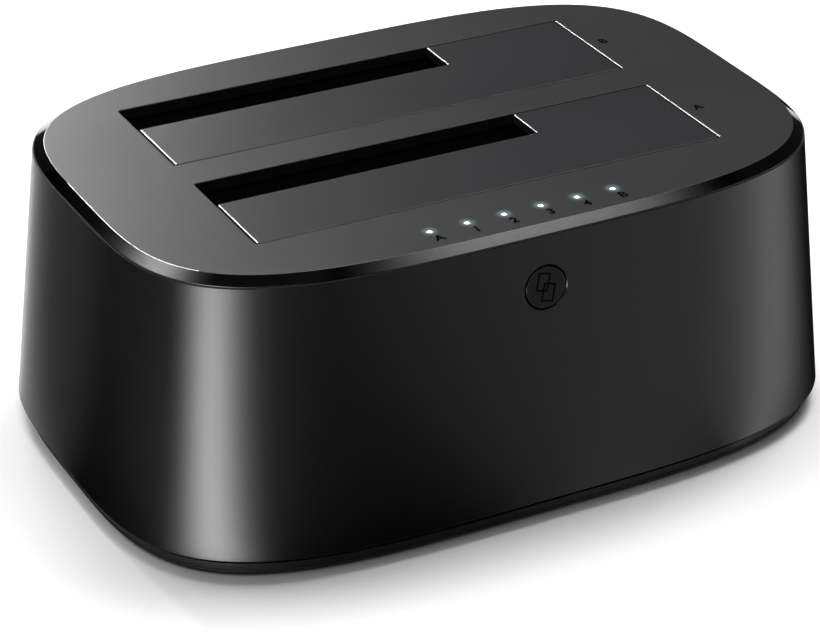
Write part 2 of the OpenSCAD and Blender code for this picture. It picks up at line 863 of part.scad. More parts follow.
// Button cap whose face leans with the wall, kept in by a flange behind the wall
module copy_button() {
    face_y = -wall_y(0, button_z) + button_sink;
    reach = 2 * button_d;
    color(satin_black)
    union() {
        difference() {
            bar_y(face_y - over, button_flange_y + button_flange_t / 2, button_d, 0, button_z);
            translate([0, face_y, button_z])
                rotate([-wall_lean, 0, 0])
                    block([-reach, -reach, -reach], [reach, 0, reach]);
        }
        bar_y(button_flange_y, button_flange_y + button_flange_t, button_flange_d, 0, button_z);
        bar_y(button_flange_y, plunger_tip, stem_d, 0, button_z);
    }
}

module switch_body() {
    face_y = indicator_y - switch_h;
    depth = plunger_in + button_travel + slack;
    color(dark_plastic)
    difference() {
        block([-switch_size / 2, face_y, button_z - switch_size / 2],
            [switch_size / 2, indicator_y, button_z + switch_size / 2]);
        bar_y(face_y - over, face_y + depth, plunger_d + 2 * pin_slack, 0, button_z);
    }
}

module switch_plunger() {
    color(rubber_black)
    bar_y(plunger_tip, plunger_tip + plunger_out + plunger_in, plunger_d, 0, button_z);
}

// Square data socket: a wide mouth with a narrower one above it
module data_socket() {
    w = data_size[0];
    h = data_size[2];
    mouth_w = 8.5;
    mouth_h = 7.8;
    mouth_z = 0.9;
    upper_w = 6.2;
    color(steel)
    translate([data_x, panel_y, board_top])
    difference() {
        block([-w / 2, -data_size[1], 0], [w / 2, 0, h]);
        block([-mouth_w / 2, -data_depth, mouth_z], [mouth_w / 2, over, mouth_z + mouth_h]);
        block([-upper_w / 2, -data_depth, data_wall], [upper_w / 2, over, h - data_wall]);
    }
}

// Two contact tongues, one in each mouth of the data socket
module data_tongue() {
    rises = [3.4, 8.6];
    sizes = [[5.6, 8.4, 3], [4.4, 8, 1.2]];
    color(dark_plastic)
    for (k = [0, 1])
        translate([data_x - sizes[k][0] / 2, panel_y - data_depth, board_top + rises[k]])
            cube(sizes[k]);
}

module power_inlet() {
    case_y = panel_y - panel_t - run_gap;
    axis_z = board_top + inlet_rise;
    color(dark_plastic)
    difference() {
        union() {
            block([inlet_x - inlet_size[0] / 2, case_y - inlet_size[1], board_top],
                [inlet_x + inlet_size[0] / 2, case_y, board_top + inlet_size[2]]);
            bar_y(case_y - over, panel_y, 2 * inlet_r, inlet_x, axis_z);
        }
        bar_y(panel_y - inlet_depth, panel_y + over, 2 * inlet_bore_r, inlet_x, axis_z);
    }
}

module inlet_pin() {
    tip = 0.8;
    pin_back = 0.6;
    length = inlet_depth - pin_back;
    color(gold)
    translate([inlet_x, panel_y - inlet_depth, board_top + inlet_rise])
        rotate([-90, 0, 0]) {
            cylinder(r = inlet_pin_r, h = length - tip, $fn = 40);
            translate([0, 0, length - tip])
                cylinder(r1 = inlet_pin_r, r2 = inlet_pin_r - tip / 2, h = tip, $fn = 40);
        }
}

module power_switch() {
    terminal = [1.2, 0.8, switch_rise];
    terminal_pitch = 4;
    pivot_y = panel_y - rocker_pivot_in;
    color(dark_plastic)
    difference() {
        union() {
            translate([switch_x, panel_y, switch_z]) {
                slab(switch_bezel, 0);
                slab(switch_case, -switch_case[1]);
            }
            translate([switch_x, panel_y - switch_case[1], board_top + switch_rise / 2])
                for (k = [-1 : 1])
                    translate([k * terminal_pitch, 0, 0]) slab(terminal, 0);
        }
        translate([switch_x, panel_y + switch_bezel[1], switch_z])
            slab(rocker_pocket + [0, over, 0], -rocker_pocket[1]);
        translate([switch_x, pivot_y, switch_z - rocker_pivot_l / 2 - slack])
            cylinder(r = rocker_pivot_r + pin_slack, h = rocker_pivot_l + 2 * slack, $fn = 40);
    }
}

// Rocker with a dished face, resting on its off side
module power_rocker() {
    tip_y = 3.4;
    dish_y = 2.2;
    side_y = 1.2;
    foot_x = 2.2;
    foot_y = -2.6;
    dish_steps = 12;
    color(dark_plastic)
    translate([switch_x, panel_y - rocker_pivot_in, switch_z])
        rotate(rocker_tilt) {
            translate([0, 0, -rocker_w / 2])
                linear_extrude(rocker_w)
                    polygon(concat(
                        [for (k = [-dish_steps : dish_steps])
                            let (s = k / dish_steps) [rocker_half * s, dish_y + (tip_y - dish_y) * s * s]],
                        [[rocker_half, side_y], [foot_x, foot_y], [-foot_x, foot_y], [-rocker_half, side_y]]
                    ));
            translate([0, 0, -rocker_pivot_l / 2]) cylinder(r = rocker_pivot_r, h = rocker_pivot_l, $fn = 40);
        }
}

// Flat square chips with a bevelled corner
module bridge_chips() {
    tall = 1.2;
    corner = 1;
    color(dark_plastic)
    for (k = [0 : len(chip_sizes) - 1])
        let (w = chip_sizes[k])
            translate(concat(chip_at(k), board_top))
                linear_extrude(tall)
                    polygon([[0, 0], [w, 0], [w, w - corner], [w - corner, w], [0, w]]);
}

// Round cans with a crimped waist
module capacitors() {
    r = can_r;
    tall = part_h;
    waist = 0.4;
    waist_z = 1.2;
    color(steel)
    for (i = [0, 1], k = [0 : can_count - 1])
        translate(concat(can_at(i, k), board_top))
            rotate_extrude($fn = 40)
                polygon([[0, 0], [r, 0], [r, waist_z - waist], [r - waist, waist_z], [r, waist_z + waist],
                    [r, tall - waist], [r - waist, tall], [0, tall]]);
}

// Drum-shaped wound parts with a narrow middle
module inductors() {
    r = drum_r;
    flange = 0.8;
    tall = part_h - slack;
    color(spring_steel)
    for (i = [0, 1])
        translate(concat(drum_at(i), board_top))
            rotate_extrude($fn = 40)
                polygon([[0, 0], [r, 0], [r, flange], [r - flange, flange],
                    [r - flange, tall - flange], [r, tall - flange], [r, tall], [0, tall]]);
}

// Metal can with round ends
module crystal() {
    half = 3.4;
    r = 2;
    tall = part_h - 3 * slack;
    color(steel)
    translate([board_l / 2 - crystal_in, land_mid + crystal_row, board_top])
        union() {
            block([-half, -r, 0], [half, r, tall]);
            for (side = [-1, 1])
                translate([side * half, 0, 0]) cylinder(r = r, h = tall, $fn = 40);
        }
}

// Flat cable that bows forward a little between its headers
module ribbon_cable() {
    function bow(s) = -ribbon_bow * pow(sin(180 * s), 2);
    function side(t) = [
        for (k = [0 : ribbon_steps])
            let (s = k / ribbon_steps) [header_y + bow(s) + t, ribbon_z0 + s * (ribbon_z1 - ribbon_z0)]
    ];
    left = side(-ribbon_t / 2);
    right = side(ribbon_t / 2);
    color(lens_white)
    along_x(ribbon_x - ribbon_w / 2, ribbon_x + ribbon_w / 2)
        polygon(concat(left, [for (k = [ribbon_steps : -1 : 0]) right[k]]));
}

module ribbon_headers() {
    color(dark_plastic)
    for (z = [board_top, ribbon_z1])
        translate([ribbon_x - header_size[0] / 2, header_y - header_size[1] / 2, z])
            cube(header_size);
}

body_shell();
top_cover();
base_plate();
rubber_feet();
base_screws();
bay_guide_a();
bay_guide_b();
guide_screws();
flap_a();
flap_b();
hinge_rod_a();
hinge_rod_b();
flap_spring_a();
flap_spring_b();
main_board();
board_screws();
drive_socket_a();
drive_socket_b();
socket_contacts_a();
socket_contacts_b();
indicator_board();
indicator_screws();
indicator_leds();
light_pipes();
copy_button();
switch_body();
switch_plunger();
data_socket();
data_tongue();
power_inlet();
inlet_pin();
power_switch();
power_rocker();
bridge_chips();
capacitors();
inductors();
crystal();
ribbon_cable();
ribbon_headers();
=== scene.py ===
# %% [markdown]
# # A two-bay drive dock, dressed for a studio picture
#
# The frame holds every piece of the dock at its real size, as solids with plain faces. Here each piece
# that shows gets its real surface: smooth lofted walls, small rounded edges that catch the light, and a
# finish made of shader nodes. Lengths are in metres, and most sizes are read from the frame, so that a
# dressed piece always lies on the solid that it stands for.

# %% Load the frame
import math

import bmesh
import bpy
import numpy as np
from mathutils import Matrix, Quaternion, Vector
from mathutils.geometry import tessellate_polygon


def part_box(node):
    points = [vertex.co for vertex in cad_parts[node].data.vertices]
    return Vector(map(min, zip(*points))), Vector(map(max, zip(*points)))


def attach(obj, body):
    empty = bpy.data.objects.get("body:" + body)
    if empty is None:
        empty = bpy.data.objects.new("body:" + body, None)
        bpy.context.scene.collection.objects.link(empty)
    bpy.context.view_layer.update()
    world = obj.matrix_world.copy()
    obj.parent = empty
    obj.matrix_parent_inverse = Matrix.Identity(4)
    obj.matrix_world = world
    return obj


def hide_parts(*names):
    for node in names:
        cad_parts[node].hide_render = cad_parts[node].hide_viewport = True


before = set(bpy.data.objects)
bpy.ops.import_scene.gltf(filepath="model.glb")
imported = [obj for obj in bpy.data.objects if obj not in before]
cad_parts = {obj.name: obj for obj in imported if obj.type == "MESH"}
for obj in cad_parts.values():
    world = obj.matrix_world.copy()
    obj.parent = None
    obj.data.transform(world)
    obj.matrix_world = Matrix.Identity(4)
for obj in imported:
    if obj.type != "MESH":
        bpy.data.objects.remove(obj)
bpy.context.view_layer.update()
scene = bpy.context.scene
MM = 0.001


def placed(name, data):
    """New object in the scene."""
    obj = bpy.data.objects.new(name, data)
    scene.collection.objects.link(obj)
    return obj


# %% [markdown]
# ## The outline
#
# Seen from above, the dock is a superellipse, a curve between an ellipse and a rectangle. The wall leans
# outwards towards the table, so each level has the same curve with a wider offset. The half sizes, levels
# and lean are measured on the solids, and only the squareness of the curve and the width of the bevel are
# written here. Points are spread evenly along the curve, because even spacing gives even shading.

# %% Sizes and the outline
cover_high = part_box("top_cover")[1]
shell_low, shell_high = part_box("body_shell")
base_low, base_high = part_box("base_plate")
outline_squareness = 3.76
outline_points = 480
bevel_run = 2.15 * MM
proud = 0.02 * MM
top_z = cover_high.z - proud
shoulder_z = shell_high.z
seam_z = shell_low.z
half_x = cover_high.x - bevel_run
half_y = cover_high.y - bevel_run
lean = (shell_high.x - cover_high.x) / (shoulder_z - seam_z)


def wall_offset(z):
    """How far the side wall stands outside the flat top at a level."""
    return bevel_run + (shoulder_z - z) * lean


def even_angles(count):
    """Curve parameters of points that lie evenly spaced along the outline."""
    turn = np.linspace(0, 2 * np.pi, 40 * count + 1)
    x, y = np.cos(turn), np.sin(turn)
    reach = (np.abs(x / half_x) ** outline_squareness + np.abs(y / half_y) ** outline_squareness)
    reach = reach ** (-1 / outline_squareness)
    x, y = x * reach, y * reach
    length = np.concatenate([[0], np.cumsum(np.hypot(np.diff(x), np.diff(y)))])
    even = np.linspace(0, length[-1], count, endpoint=False)
    x, y = np.interp(even, length, x), np.interp(even, length, y)
    bend = outline_squareness / 2
    return np.arctan2(np.sign(y) * np.abs(y / half_y) ** bend, np.sign(x) * np.abs(x / half_x) ** bend)


outline_angles = even_angles(outline_points)


def outline(offset, z):
    """Ring of points round the dock, outside the flat top by an offset, at a level."""
    c, s = np.cos(outline_angles), np.sin(outline_angles)
    x = (half_x + offset) * np.sign(c) * np.abs(c) ** (2 / outline_squareness)
    y = (half_y + offset) * np.sign(s) * np.abs(s) ** (2 / outline_squareness)
    return [Vector((px, py, z)) for px, py in zip(x, y)]


print("flat top:", round(2 * half_x / MM, 1), "by", round(2 * half_y / MM, 1), "mm")

# %% [markdown]
# ## The camera
#
# The picture was taken with a long lens from the front left and above. The place and turn of the camera
# were worked out from the corners of the bays, whose real size is known, and the lens follows from the
# frame of 820 by 641 pixels.

# %% Camera
frame_width_px = 820
focal_px = 3003.8
camera_place = Vector((-259.4, -486.1, 321.8)) * MM
camera_azimuth = math.radians(27.88)
camera_drop = math.radians(28.89)
camera_roll = math.radians(0.36)
camera_data = bpy.data.cameras.new("camera")
camera_data.sensor_width = 36
camera_data.lens = camera_data.sensor_width * focal_px / frame_width_px
camera_data.clip_start = 0.01
camera = placed("camera", camera_data)
look = Vector((math.sin(camera_azimuth) * math.cos(camera_drop),
               math.cos(camera_azimuth) * math.cos(camera_drop), -math.sin(camera_drop)))
turn = look.to_track_quat("-Z", "Y") @ Quaternion((0, 0, 1), camera_roll)
camera.matrix_world = Matrix.LocRotScale(camera_place, turn, None)
scene.camera = camera
print("lens:", round(camera_data.lens, 1), "mm")

# %% [markdown]
# ## Making meshes
#
# Moulded pieces are lofts: a row of rings, one for each point of a profile, joined by strips of faces. A
# sharp corner never catches light, so each corner of a profile is swapped for a short arc. The strips also
# get a UV map in metres, along the ring and along the profile, which brushed finishes use.

# %% Helpers for rings and profiles
def arc_corner(before, corner, after, radius, steps):
    """Points of an arc that rounds a corner between two straight runs, in any plane."""
    u, v = (before - corner).normalized(), (after - corner).normalized()
    half = u.angle(v) / 2
    centre = corner + (u + v).normalized() * (radius / math.sin(half))
    setback = radius / math.tan(half)
    first = corner + u * setback - centre
    last = corner + v * setback - centre
    sweep = first.angle(last)
    points = []
    for k in range(steps + 1):
        part = k / steps
        blend = first * math.sin(sweep * (1 - part)) + last * math.sin(sweep * part)
        points.append(centre + blend / math.sin(sweep))
    return points



def rounded(points, steps=5, closed=True):
    """Points as (x, y, radius), with an arc in place of each corner that has a radius."""
    corners = [Vector((x, y)) for x, y, _ in points]
    result = []
    for k, (_, _, radius) in enumerate(points):
        at_end = not closed and k in (0, len(points) - 1)
        if radius <= 0 or at_end:
            result.append(corners[k])
        else:
            result += arc_corner(corners[k - 1], corners[k], corners[(k + 1) % len(corners)], radius, steps)
    return result


def rectangle(low, high):
    """Corners of an upright rectangle, anticlockwise."""
    return [(low[0], low[1]), (high[0], low[1]), (high[0], high[1]), (low[0], high[1])]


def grown(corners, distance):
    """Right-angled anticlockwise outline with every side moved outwards by a distance."""
    moved = []
    for k, (x, y) in enumerate(corners):
        before, after = corners[k - 1], corners[(k + 1) % len(corners)]
        along_in = (Vector((x, y)) - Vector(before)).normalized()
        along_out = (Vector(after) - Vector((x, y))).normalized()
        moved.append((x + distance * (along_in.y + along_out.y), y - distance * (along_in.x + along_out.x)))
    return moved


def flat_ring(corners, radius, z, steps=4):
    """Outline with rounded corners, laid flat at a level."""
    return [Vector((p.x, p.y, z)) for p in rounded([(x, y, radius) for x, y in corners], steps)]


class Mesh:
    """Faces that are gathered strip by strip and then made into one object."""

    def __init__(self):
        self.points, self.faces, self.finish, self.uv = [], [], [], []

    def add(self, points):
        first = len(self.points)
        self.points += points
        return list(range(first, first + len(points)))

    def face(self, corners, finish, uv=None):
        self.faces.append(corners)
        self.finish.append(finish)
        self.uv.append(uv or [(self.points[k].x, self.points[k].y) for k in corners])

    def loft(self, rings, finish=0, closed=False):
        """Strips between rings that have equal counts. A finish may be one number or one for each strip."""
        rows = [self.add(ring) for ring in rings]
        if closed:
            rows.append(rows[0])
        count = len(rings[0])
        across = 0.0
        for k in range(len(rows) - 1):
            step = (self.points[rows[k + 1][0]] - self.points[rows[k][0]]).length
            run = 0.0
            for i in range(count):
                j = (i + 1) % count
                length = (self.points[rows[k][j]] - self.points[rows[k][i]]).length
                corners = [rows[k][i], rows[k][j], rows[k + 1][j], rows[k + 1][i]]
                end, above = run + length, across + step
                uv = [(run, across), (end, across), (end, above), (run, above)]
                slot = finish[k] if isinstance(finish, list) else finish
                self.face(corners, slot(i) if callable(slot) else slot, uv)
                run += length
            across += step
        return rows

    def fill(self, outer, holes=(), finish=0, facing=(0, 0, 1)):
        """Flat face inside a ring of points, round any holes, turned to face one way."""
        loops = [outer, *holes]
        flat = [k for loop in loops for k in loop]
        for triangle in tessellate_polygon([[self.points[k] for k in loop] for loop in loops]):
            corners = [flat[k] for k in triangle]
            p, q, r = (self.points[k] for k in corners)
            if (q - p).cross(r - p).dot(facing) <= 0:
                corners.reverse()
            self.face(corners, finish)

    def carry(self, node, keep, finish=0):
        """Copy of the faces of a solid that pass a test on their corners."""
        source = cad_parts[node].data
        for polygon in source.polygons:
            corners = [source.vertices[k].co.copy() for k in polygon.vertices]
            if keep(corners):
                self.face(self.add(corners), finish)

    def make(self, name, body, materials, sharp=40, weld=True):
        """Object that rides on a body, with smooth faces split at sharp edges."""
        mesh = bpy.data.meshes.new(name)
        mesh.from_pydata(self.points, [], self.faces)
        mesh.polygons.foreach_set("material_index", self.finish)
        layer = mesh.uv_layers.new(name="run")
        layer.data.foreach_set("uv", [value for face in self.uv for pair in face for value in pair])
        return dress(name, mesh, body, materials, sharp, weld)


weld_reach = 0.002 * MM
edge_width = 0.3 * MM
least_bend, most_bend = math.radians(14), math.radians(130)
flat_limit = 0.99999


def dress(name, mesh, body, materials, sharp=40, weld=True):
    """Weld, smooth and place a mesh, mark its rounded edges, and let large flat faces rule the shading."""
    work = bmesh.new()
    work.from_mesh(mesh)
    if weld:
        bmesh.ops.remove_doubles(work, verts=work.verts, dist=weld_reach)
    work.normal_update()
    # Narrow rounded faces are marked here; finishes turn them paler and smoother, partly as wear, partly as a
    # painted highlight.
    wear_and_highlight_mark = work.faces.layers.float.new("edge")
    level = [max(abs(face.normal.y), abs(face.normal.z)) > flat_limit for face in work.faces]
    work.faces.index_update()
    for face in work.faces:
        face.smooth = True
        longest = max(edge.calc_length() for edge in face.edges)
        narrow = face.calc_area() < longest * edge_width and not level[face.index]
        joined = [edge for edge in face.edges if len(edge.link_faces) == 2]
        bend = sum(max(0.0, edge.calc_face_angle_signed(0)) for edge in joined)
        face[wear_and_highlight_mark] = float(narrow and least_bend < bend < most_bend)
    for edge in work.edges:
        leaves_level = len({level[face.index] for face in edge.link_faces}) == 2
        edge.smooth = edge.calc_face_angle(math.pi) < math.radians(sharp) and not leaves_level
    work.to_mesh(mesh)
    work.free()
    for material in materials:
        mesh.materials.append(material)
    obj = placed(name, mesh)
    shading = obj.modifiers.new("even_shading", "WEIGHTED_NORMAL")
    shading.keep_sharp = True
    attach(obj, body)
    return obj


print("mesh helpers ready")

# %% [markdown]
# ## Shader node helpers and shared effects
#
# Three effects come back in many finishes, so each is a node group with its own inputs. Moulded grain is
# the fine tooth of a plastic surface, with slow patches of more and less gloss. Rubbed edges are paler and
# smoother on every narrow rounded face that the mesh helper marks, and an Attribute node reads the mark:
# partly wear, partly a painted highlight along each edge. Dust is a thin scatter of pale specks that lies on
# faces turned upwards.

# %% Node helpers
def put(tree, socket, value):
    """Give an input a value, or a link from another socket."""
    if isinstance(value, bpy.types.NodeSocket):
        tree.links.new(value, socket)
    else:
        socket.default_value = value


def add(tree, kind, **values):
    """New node with its inputs by name (underscores for spaces), and settings of its own."""
    node = tree.nodes.new(kind)
    for name, value in values.items():
        socket = name.replace("_", " ")
        if socket in node.inputs:
            put(tree, node.inputs[socket], value)
        else:
            setattr(node, name, value)
    return node


def spread(tree, source, low, high, to_low, to_high):
    """Value stretched from one range to another, held inside it."""
    node = add(tree, "ShaderNodeMapRange", Value=source, From_Min=low, From_Max=high, To_Min=to_low,
               To_Max=to_high)
    return node.outputs["Result"]


def blend_colours(tree, factor, first, second):
    """Colour between two, which may be values or sockets."""
    node = add(tree, "ShaderNodeMix", data_type="RGBA")
    tree.links.new(factor, node.inputs[0])
    for place, colour in ((6, first), (7, second)):
        put(tree, node.inputs[place], (*colour, 1) if isinstance(colour, tuple) else colour)
    return node.outputs[2]


def maths(tree, operation, first, second):
    """Sum, product or other operation on two values, which may be numbers or sockets."""
    node = add(tree, "ShaderNodeMath", operation=operation)
    put(tree, node.inputs[0], first)
    put(tree, node.inputs[1], second)
    return node.outputs[0]


def new_group(name, inputs, outputs):
    """Empty node group with named sockets; an input comes with its first value."""
    group = bpy.data.node_groups.new(name, "ShaderNodeTree")
    for label, value in inputs.items():
        group.interface.new_socket(label, in_out="INPUT", socket_type="NodeSocketFloat").default_value = value
    for label in outputs:
        group.interface.new_socket(label, in_out="OUTPUT", socket_type="NodeSocketFloat")
    return group, group.nodes.new("NodeGroupInput").outputs, group.nodes.new("NodeGroupOutput").inputs


# %% Moulded grain
grain_sizes = {"Size": 0.3, "Patch": 25.0}
grain_group, grain_in, grain_out = new_group("moulded_grain", grain_sizes, ["Height", "Patches"])
where = add(grain_group, "ShaderNodeTexCoord").outputs["Object"]
fine_scale = maths(grain_group, "DIVIDE", 1 / MM, grain_in["Size"])
slow_scale = maths(grain_group, "DIVIDE", 1 / MM, grain_in["Patch"])
fine = add(grain_group, "ShaderNodeTexNoise", Vector=where, Scale=fine_scale, Detail=2.0, Roughness=0.6)
slow = add(grain_group, "ShaderNodeTexNoise", Vector=where, Scale=slow_scale, Detail=3.0, Roughness=0.5)
grain_group.links.new(fine.outputs["Fac"], grain_out["Height"])
grain_group.links.new(spread(grain_group, slow.outputs["Fac"], 0.35, 0.65, 0, 1), grain_out["Patches"])
print("group:", grain_group.name)

# %% Rubbed edges: wear and painted highlight
worn_and_highlit_edge_group, worn_and_highlit_edge_in, worn_and_highlit_edge_out = new_group("rubbed_and_highlit_edges", {"Amount": 1.0}, ["Edge"])
marked = add(worn_and_highlit_edge_group, "ShaderNodeAttribute", attribute_name="edge").outputs["Fac"]
where = add(worn_and_highlit_edge_group, "ShaderNodeTexCoord").outputs["Object"]
chips = add(worn_and_highlit_edge_group, "ShaderNodeTexNoise", Vector=where, Scale=400.0, Detail=4.0)
broken = spread(worn_and_highlit_edge_group, chips.outputs["Fac"], 0.4, 0.62, 0.25, 1)
worn_and_highlit = maths(worn_and_highlit_edge_group, "MULTIPLY", marked, broken)
worn_and_highlit_edge_group.links.new(maths(worn_and_highlit_edge_group, "MULTIPLY", worn_and_highlit, worn_and_highlit_edge_in["Amount"]), worn_and_highlit_edge_out["Edge"])
print("group:", worn_and_highlit_edge_group.name)

# %% Dust
dust_group, dust_in, dust_out = new_group("settled_dust", {"Amount": 0.2}, ["Dust"])
where = add(dust_group, "ShaderNodeTexCoord").outputs["Object"]
specks = add(dust_group, "ShaderNodeTexVoronoi", Vector=where, Scale=420.0)
speck = spread(dust_group, specks.outputs["Distance"], 0.16, 0.08, 0, 1)
cloud = add(dust_group, "ShaderNodeTexNoise", Vector=where, Scale=60.0, Detail=4.0)
drift = spread(dust_group, cloud.outputs["Fac"], 0.5, 0.72, 0, 1)
normal = add(dust_group, "ShaderNodeNewGeometry").outputs["Normal"]
facing = add(dust_group, "ShaderNodeSeparateXYZ", Vector=normal)
upward = spread(dust_group, facing.outputs["Z"], 0.5, 0.95, 0, 1)
lying = maths(dust_group, "MULTIPLY", maths(dust_group, "MULTIPLY", speck, drift), upward)
dust_group.links.new(maths(dust_group, "MULTIPLY", lying, dust_in["Amount"]), dust_out["Dust"])
print("group:", dust_group.name)

# %% [markdown]
# ## Finishes
#
# Most pieces are moulded plastic and differ in colour, gloss and grain, so one function builds that
# family. Base colour and roughness vary a little with the slow patches, rubbed edges turn paler and
# smoother, which is wear and a painted edge highlight at once, and the grain feeds a Bump node. Values that
# are the same all over stay on the shader itself.

# %% Moulded plastics and metals
def empty_material(name):
    """Material with an empty node tree, and the input where its surface goes."""
    material = bpy.data.materials.new(name)
    material.use_nodes = True
    tree = material.node_tree
    tree.nodes.clear()
    return material, tree, tree.nodes.new("ShaderNodeOutputMaterial").inputs["Surface"]


def new_material(name):
    """Material with a Principled shader."""
    material, tree, surface = empty_material(name)
    shader = tree.nodes.new("ShaderNodeBsdfPrincipled")
    tree.links.new(shader.outputs["BSDF"], surface)
    return material, tree, shader


def bumps(tree, shader, height, strength, distance):
    """Let a height bend the light on a finish; the distance is in mm."""
    bump = add(tree, "ShaderNodeBump", Height=height, Strength=strength, Distance=distance * MM)
    tree.links.new(bump.outputs["Normal"], shader.inputs["Normal"])


def use(tree, group, **values):
    """Place a shared group in a material with its own values, and give its outputs."""
    node = tree.nodes.new("ShaderNodeGroup")
    node.node_tree = group
    for name, value in values.items():
        node.inputs[name].default_value = value
    return node.outputs


dust_grey = (0.32, 0.31, 0.30)


def moulded(name, colour, gloss, grain=0.3, tooth=0.02, edge=1.6, specular=0.5, metallic=0.0, dust=0.0,
            patchy=0.88):
    """Finish with grain and rubbed edges, paler as wear and as a painted highlight. Gloss is the roughness of
    dull and shiny patches; tooth is mm.
    """
    material, tree, shader = new_material(name)
    shader.inputs["Specular IOR Level"].default_value = specular
    shader.inputs["Metallic"].default_value = metallic
    texture = use(tree, grain_group, Size=grain)
    rubbed_and_highlit = use(tree, worn_and_highlit_edge_group)["Edge"]
    # Marked edges turn paler by the factor edge: partly wear, partly a painted highlight.
    pale = tuple(min(1.0, part * edge + 0.004 * (edge > 1)) for part in colour)
    dull = tuple(part * patchy for part in colour)
    tone = blend_colours(tree, texture["Patches"], dull, colour)
    tone = blend_colours(tree, rubbed_and_highlit, tone, pale)
    rough = spread(tree, texture["Patches"], 0, 1, gloss[0], gloss[1])
    rough = maths(tree, "SUBTRACT", rough, maths(tree, "MULTIPLY", rubbed_and_highlit, 0.3 * gloss[1]))
    if dust:
        lying = use(tree, dust_group, Amount=dust)["Dust"]
        tone = blend_colours(tree, lying, tone, dust_grey)
        rough = maths(tree, "ADD", rough, maths(tree, "MULTIPLY", lying, 0.3))
    tree.links.new(tone, shader.inputs["Base Color"])
    tree.links.new(rough, shader.inputs["Roughness"])
    bumps(tree, shader, texture["Height"], 0.5, tooth)
    return material


shell_satin = moulded("shell_satin", (0.0042, 0.0042, 0.0044), (0.250, 0.244),
                      0.35, 0.0015, 1.6, 0.20, patchy=0.97)
button_satin = moulded("button_satin", (0.0036, 0.0036, 0.0038), (0.27, 0.26),
                       0.35, 0.0015, 1.6, 0.11, patchy=0.97)
cover_matte = moulded("cover_matte", (0.0105, 0.0105, 0.0108), (0.43, 0.41),
                      0.22, 0.012, 1.5, 0.38, dust=0.07, patchy=0.95)
flap_matte = moulded("flap_matte", (0.0112, 0.0108, 0.0125), (0.38, 0.36),
                     0.22, 0.010, 1.5, 0.34, dust=0.06, patchy=0.95)
base_dull = moulded("base_dull", (0.010, 0.010, 0.010), (0.5, 0.45), 0.4, 0.01, 1.8, 0.15)
inner_black = moulded("inner_black", (0.010, 0.010, 0.010), (0.6, 0.52), 0.3, 0.02, 1.6, 0.25)
rubber = moulded("rubber", (0.018, 0.018, 0.018), (0.85, 0.75), 0.5, 0.05, 1.2, 0.3)
steel = moulded("steel", (0.55, 0.55, 0.56), (0.32, 0.24), 0.5, 0.004, 1.2, 0.5, metallic=1.0)
gold = moulded("gold", (0.83, 0.58, 0.24), (0.28, 0.2), 0.4, 0.003, 1.1, 0.5, metallic=1.0)
chip_black = moulded("chip_black", (0.016, 0.016, 0.017), (0.6, 0.5), 0.25, 0.02, 1.8)
# The two rim finishes are a little darker than the faces next to them: a painted shade along the gaps.
rim_painted_shade = moulded("rim_painted_shade", (0.008, 0.008, 0.008), (0.6, 0.55), 0.2, 0.004, 1.0, 0.2)
rim_light_painted_shade = moulded("rim_light_painted_shade", (0.010, 0.010, 0.0105), (0.52, 0.46), 0.22, 0.004, 1.0, 0.26)
# Near-black finish for print, also used in the base's groove as a painted shade.
ink_and_shade_black = moulded("ink_and_shade_black", (0.0025, 0.0025, 0.0025), (0.9, 0.85), 0.2, 0.004, 1.0, 0.0)
mark_white = moulded("mark_white", (0.62, 0.62, 0.60), (0.55, 0.5), 0.3, 0.006, 1.0)
print("finishes:", len(bpy.data.materials))

# %% [markdown]
# The bevel round the top is cut with a fine tool after painting, which leaves a dark metallic skin with
# hair lines along the cut. A bright copy of that finish goes only on edges that face left, towards the
# light, as a painted highlight: the ends of the flaps, the left-facing sides of the bay rims and the left of
# the top's inner edge. Hair lines are noise that is stretched along the UV map, so they follow the edge round
# every corner.

# %% Cut edges
def cut_edge(name, colour, gloss, line_length, line_width):
    """Dark metal with hair lines that follow the edge."""
    material, tree, shader = new_material(name)
    shader.inputs["Metallic"].default_value = 1.0
    run = add(tree, "ShaderNodeUVMap", uv_map="run").outputs["UV"]
    stretch = add(tree, "ShaderNodeVectorMath", Vector=run, operation="MULTIPLY")
    stretch.inputs[1].default_value = (1 / (line_length * MM), 1 / (line_width * MM), 1)
    lines = add(tree, "ShaderNodeTexNoise", Vector=stretch.outputs["Vector"], Scale=1.0, Detail=3.0)
    patches = use(tree, grain_group, Patch=18.0)["Patches"]
    dull = tuple(part * 0.75 for part in colour)
    tone = blend_colours(tree, spread(tree, lines.outputs["Fac"], 0.35, 0.65, 0, 1), dull, colour)
    tree.links.new(tone, shader.inputs["Base Color"])
    rough = spread(tree, lines.outputs["Fac"], 0.35, 0.65, gloss[0], gloss[1])
    rough = maths(tree, "ADD", rough, maths(tree, "MULTIPLY", patches, 0.04))
    tree.links.new(rough, shader.inputs["Roughness"])
    bumps(tree, shader, lines.outputs["Fac"], 0.4, 0.004)
    return material


bevel_cut = cut_edge("bevel_cut", (0.10, 0.10, 0.102), (0.05, 0.07), 4.0, 0.12)
# Bright copy of the cut finish, used only on edges that face left, towards the light: a painted highlight.
painted_highlight_cut = cut_edge("painted_highlight_cut", (0.85, 0.85, 0.86), (0.22, 0.30), 3.0, 0.1)
print("cut edges:", bevel_cut.name, painted_highlight_cut.name)

# %% [markdown]
# ## The top cover
#
# The cover is a flat matte plate with a cut bevel all round, two bay openings and six light holes. A plate
# with holes could come from booleans, but filling the face between the outline and the hole rings gives
# cleaner shading, and the rounded rims then grow out of the same rings. Its underside, with the skirt, the
# posts and the hinge blocks, is right in the solid, so those faces are carried over.

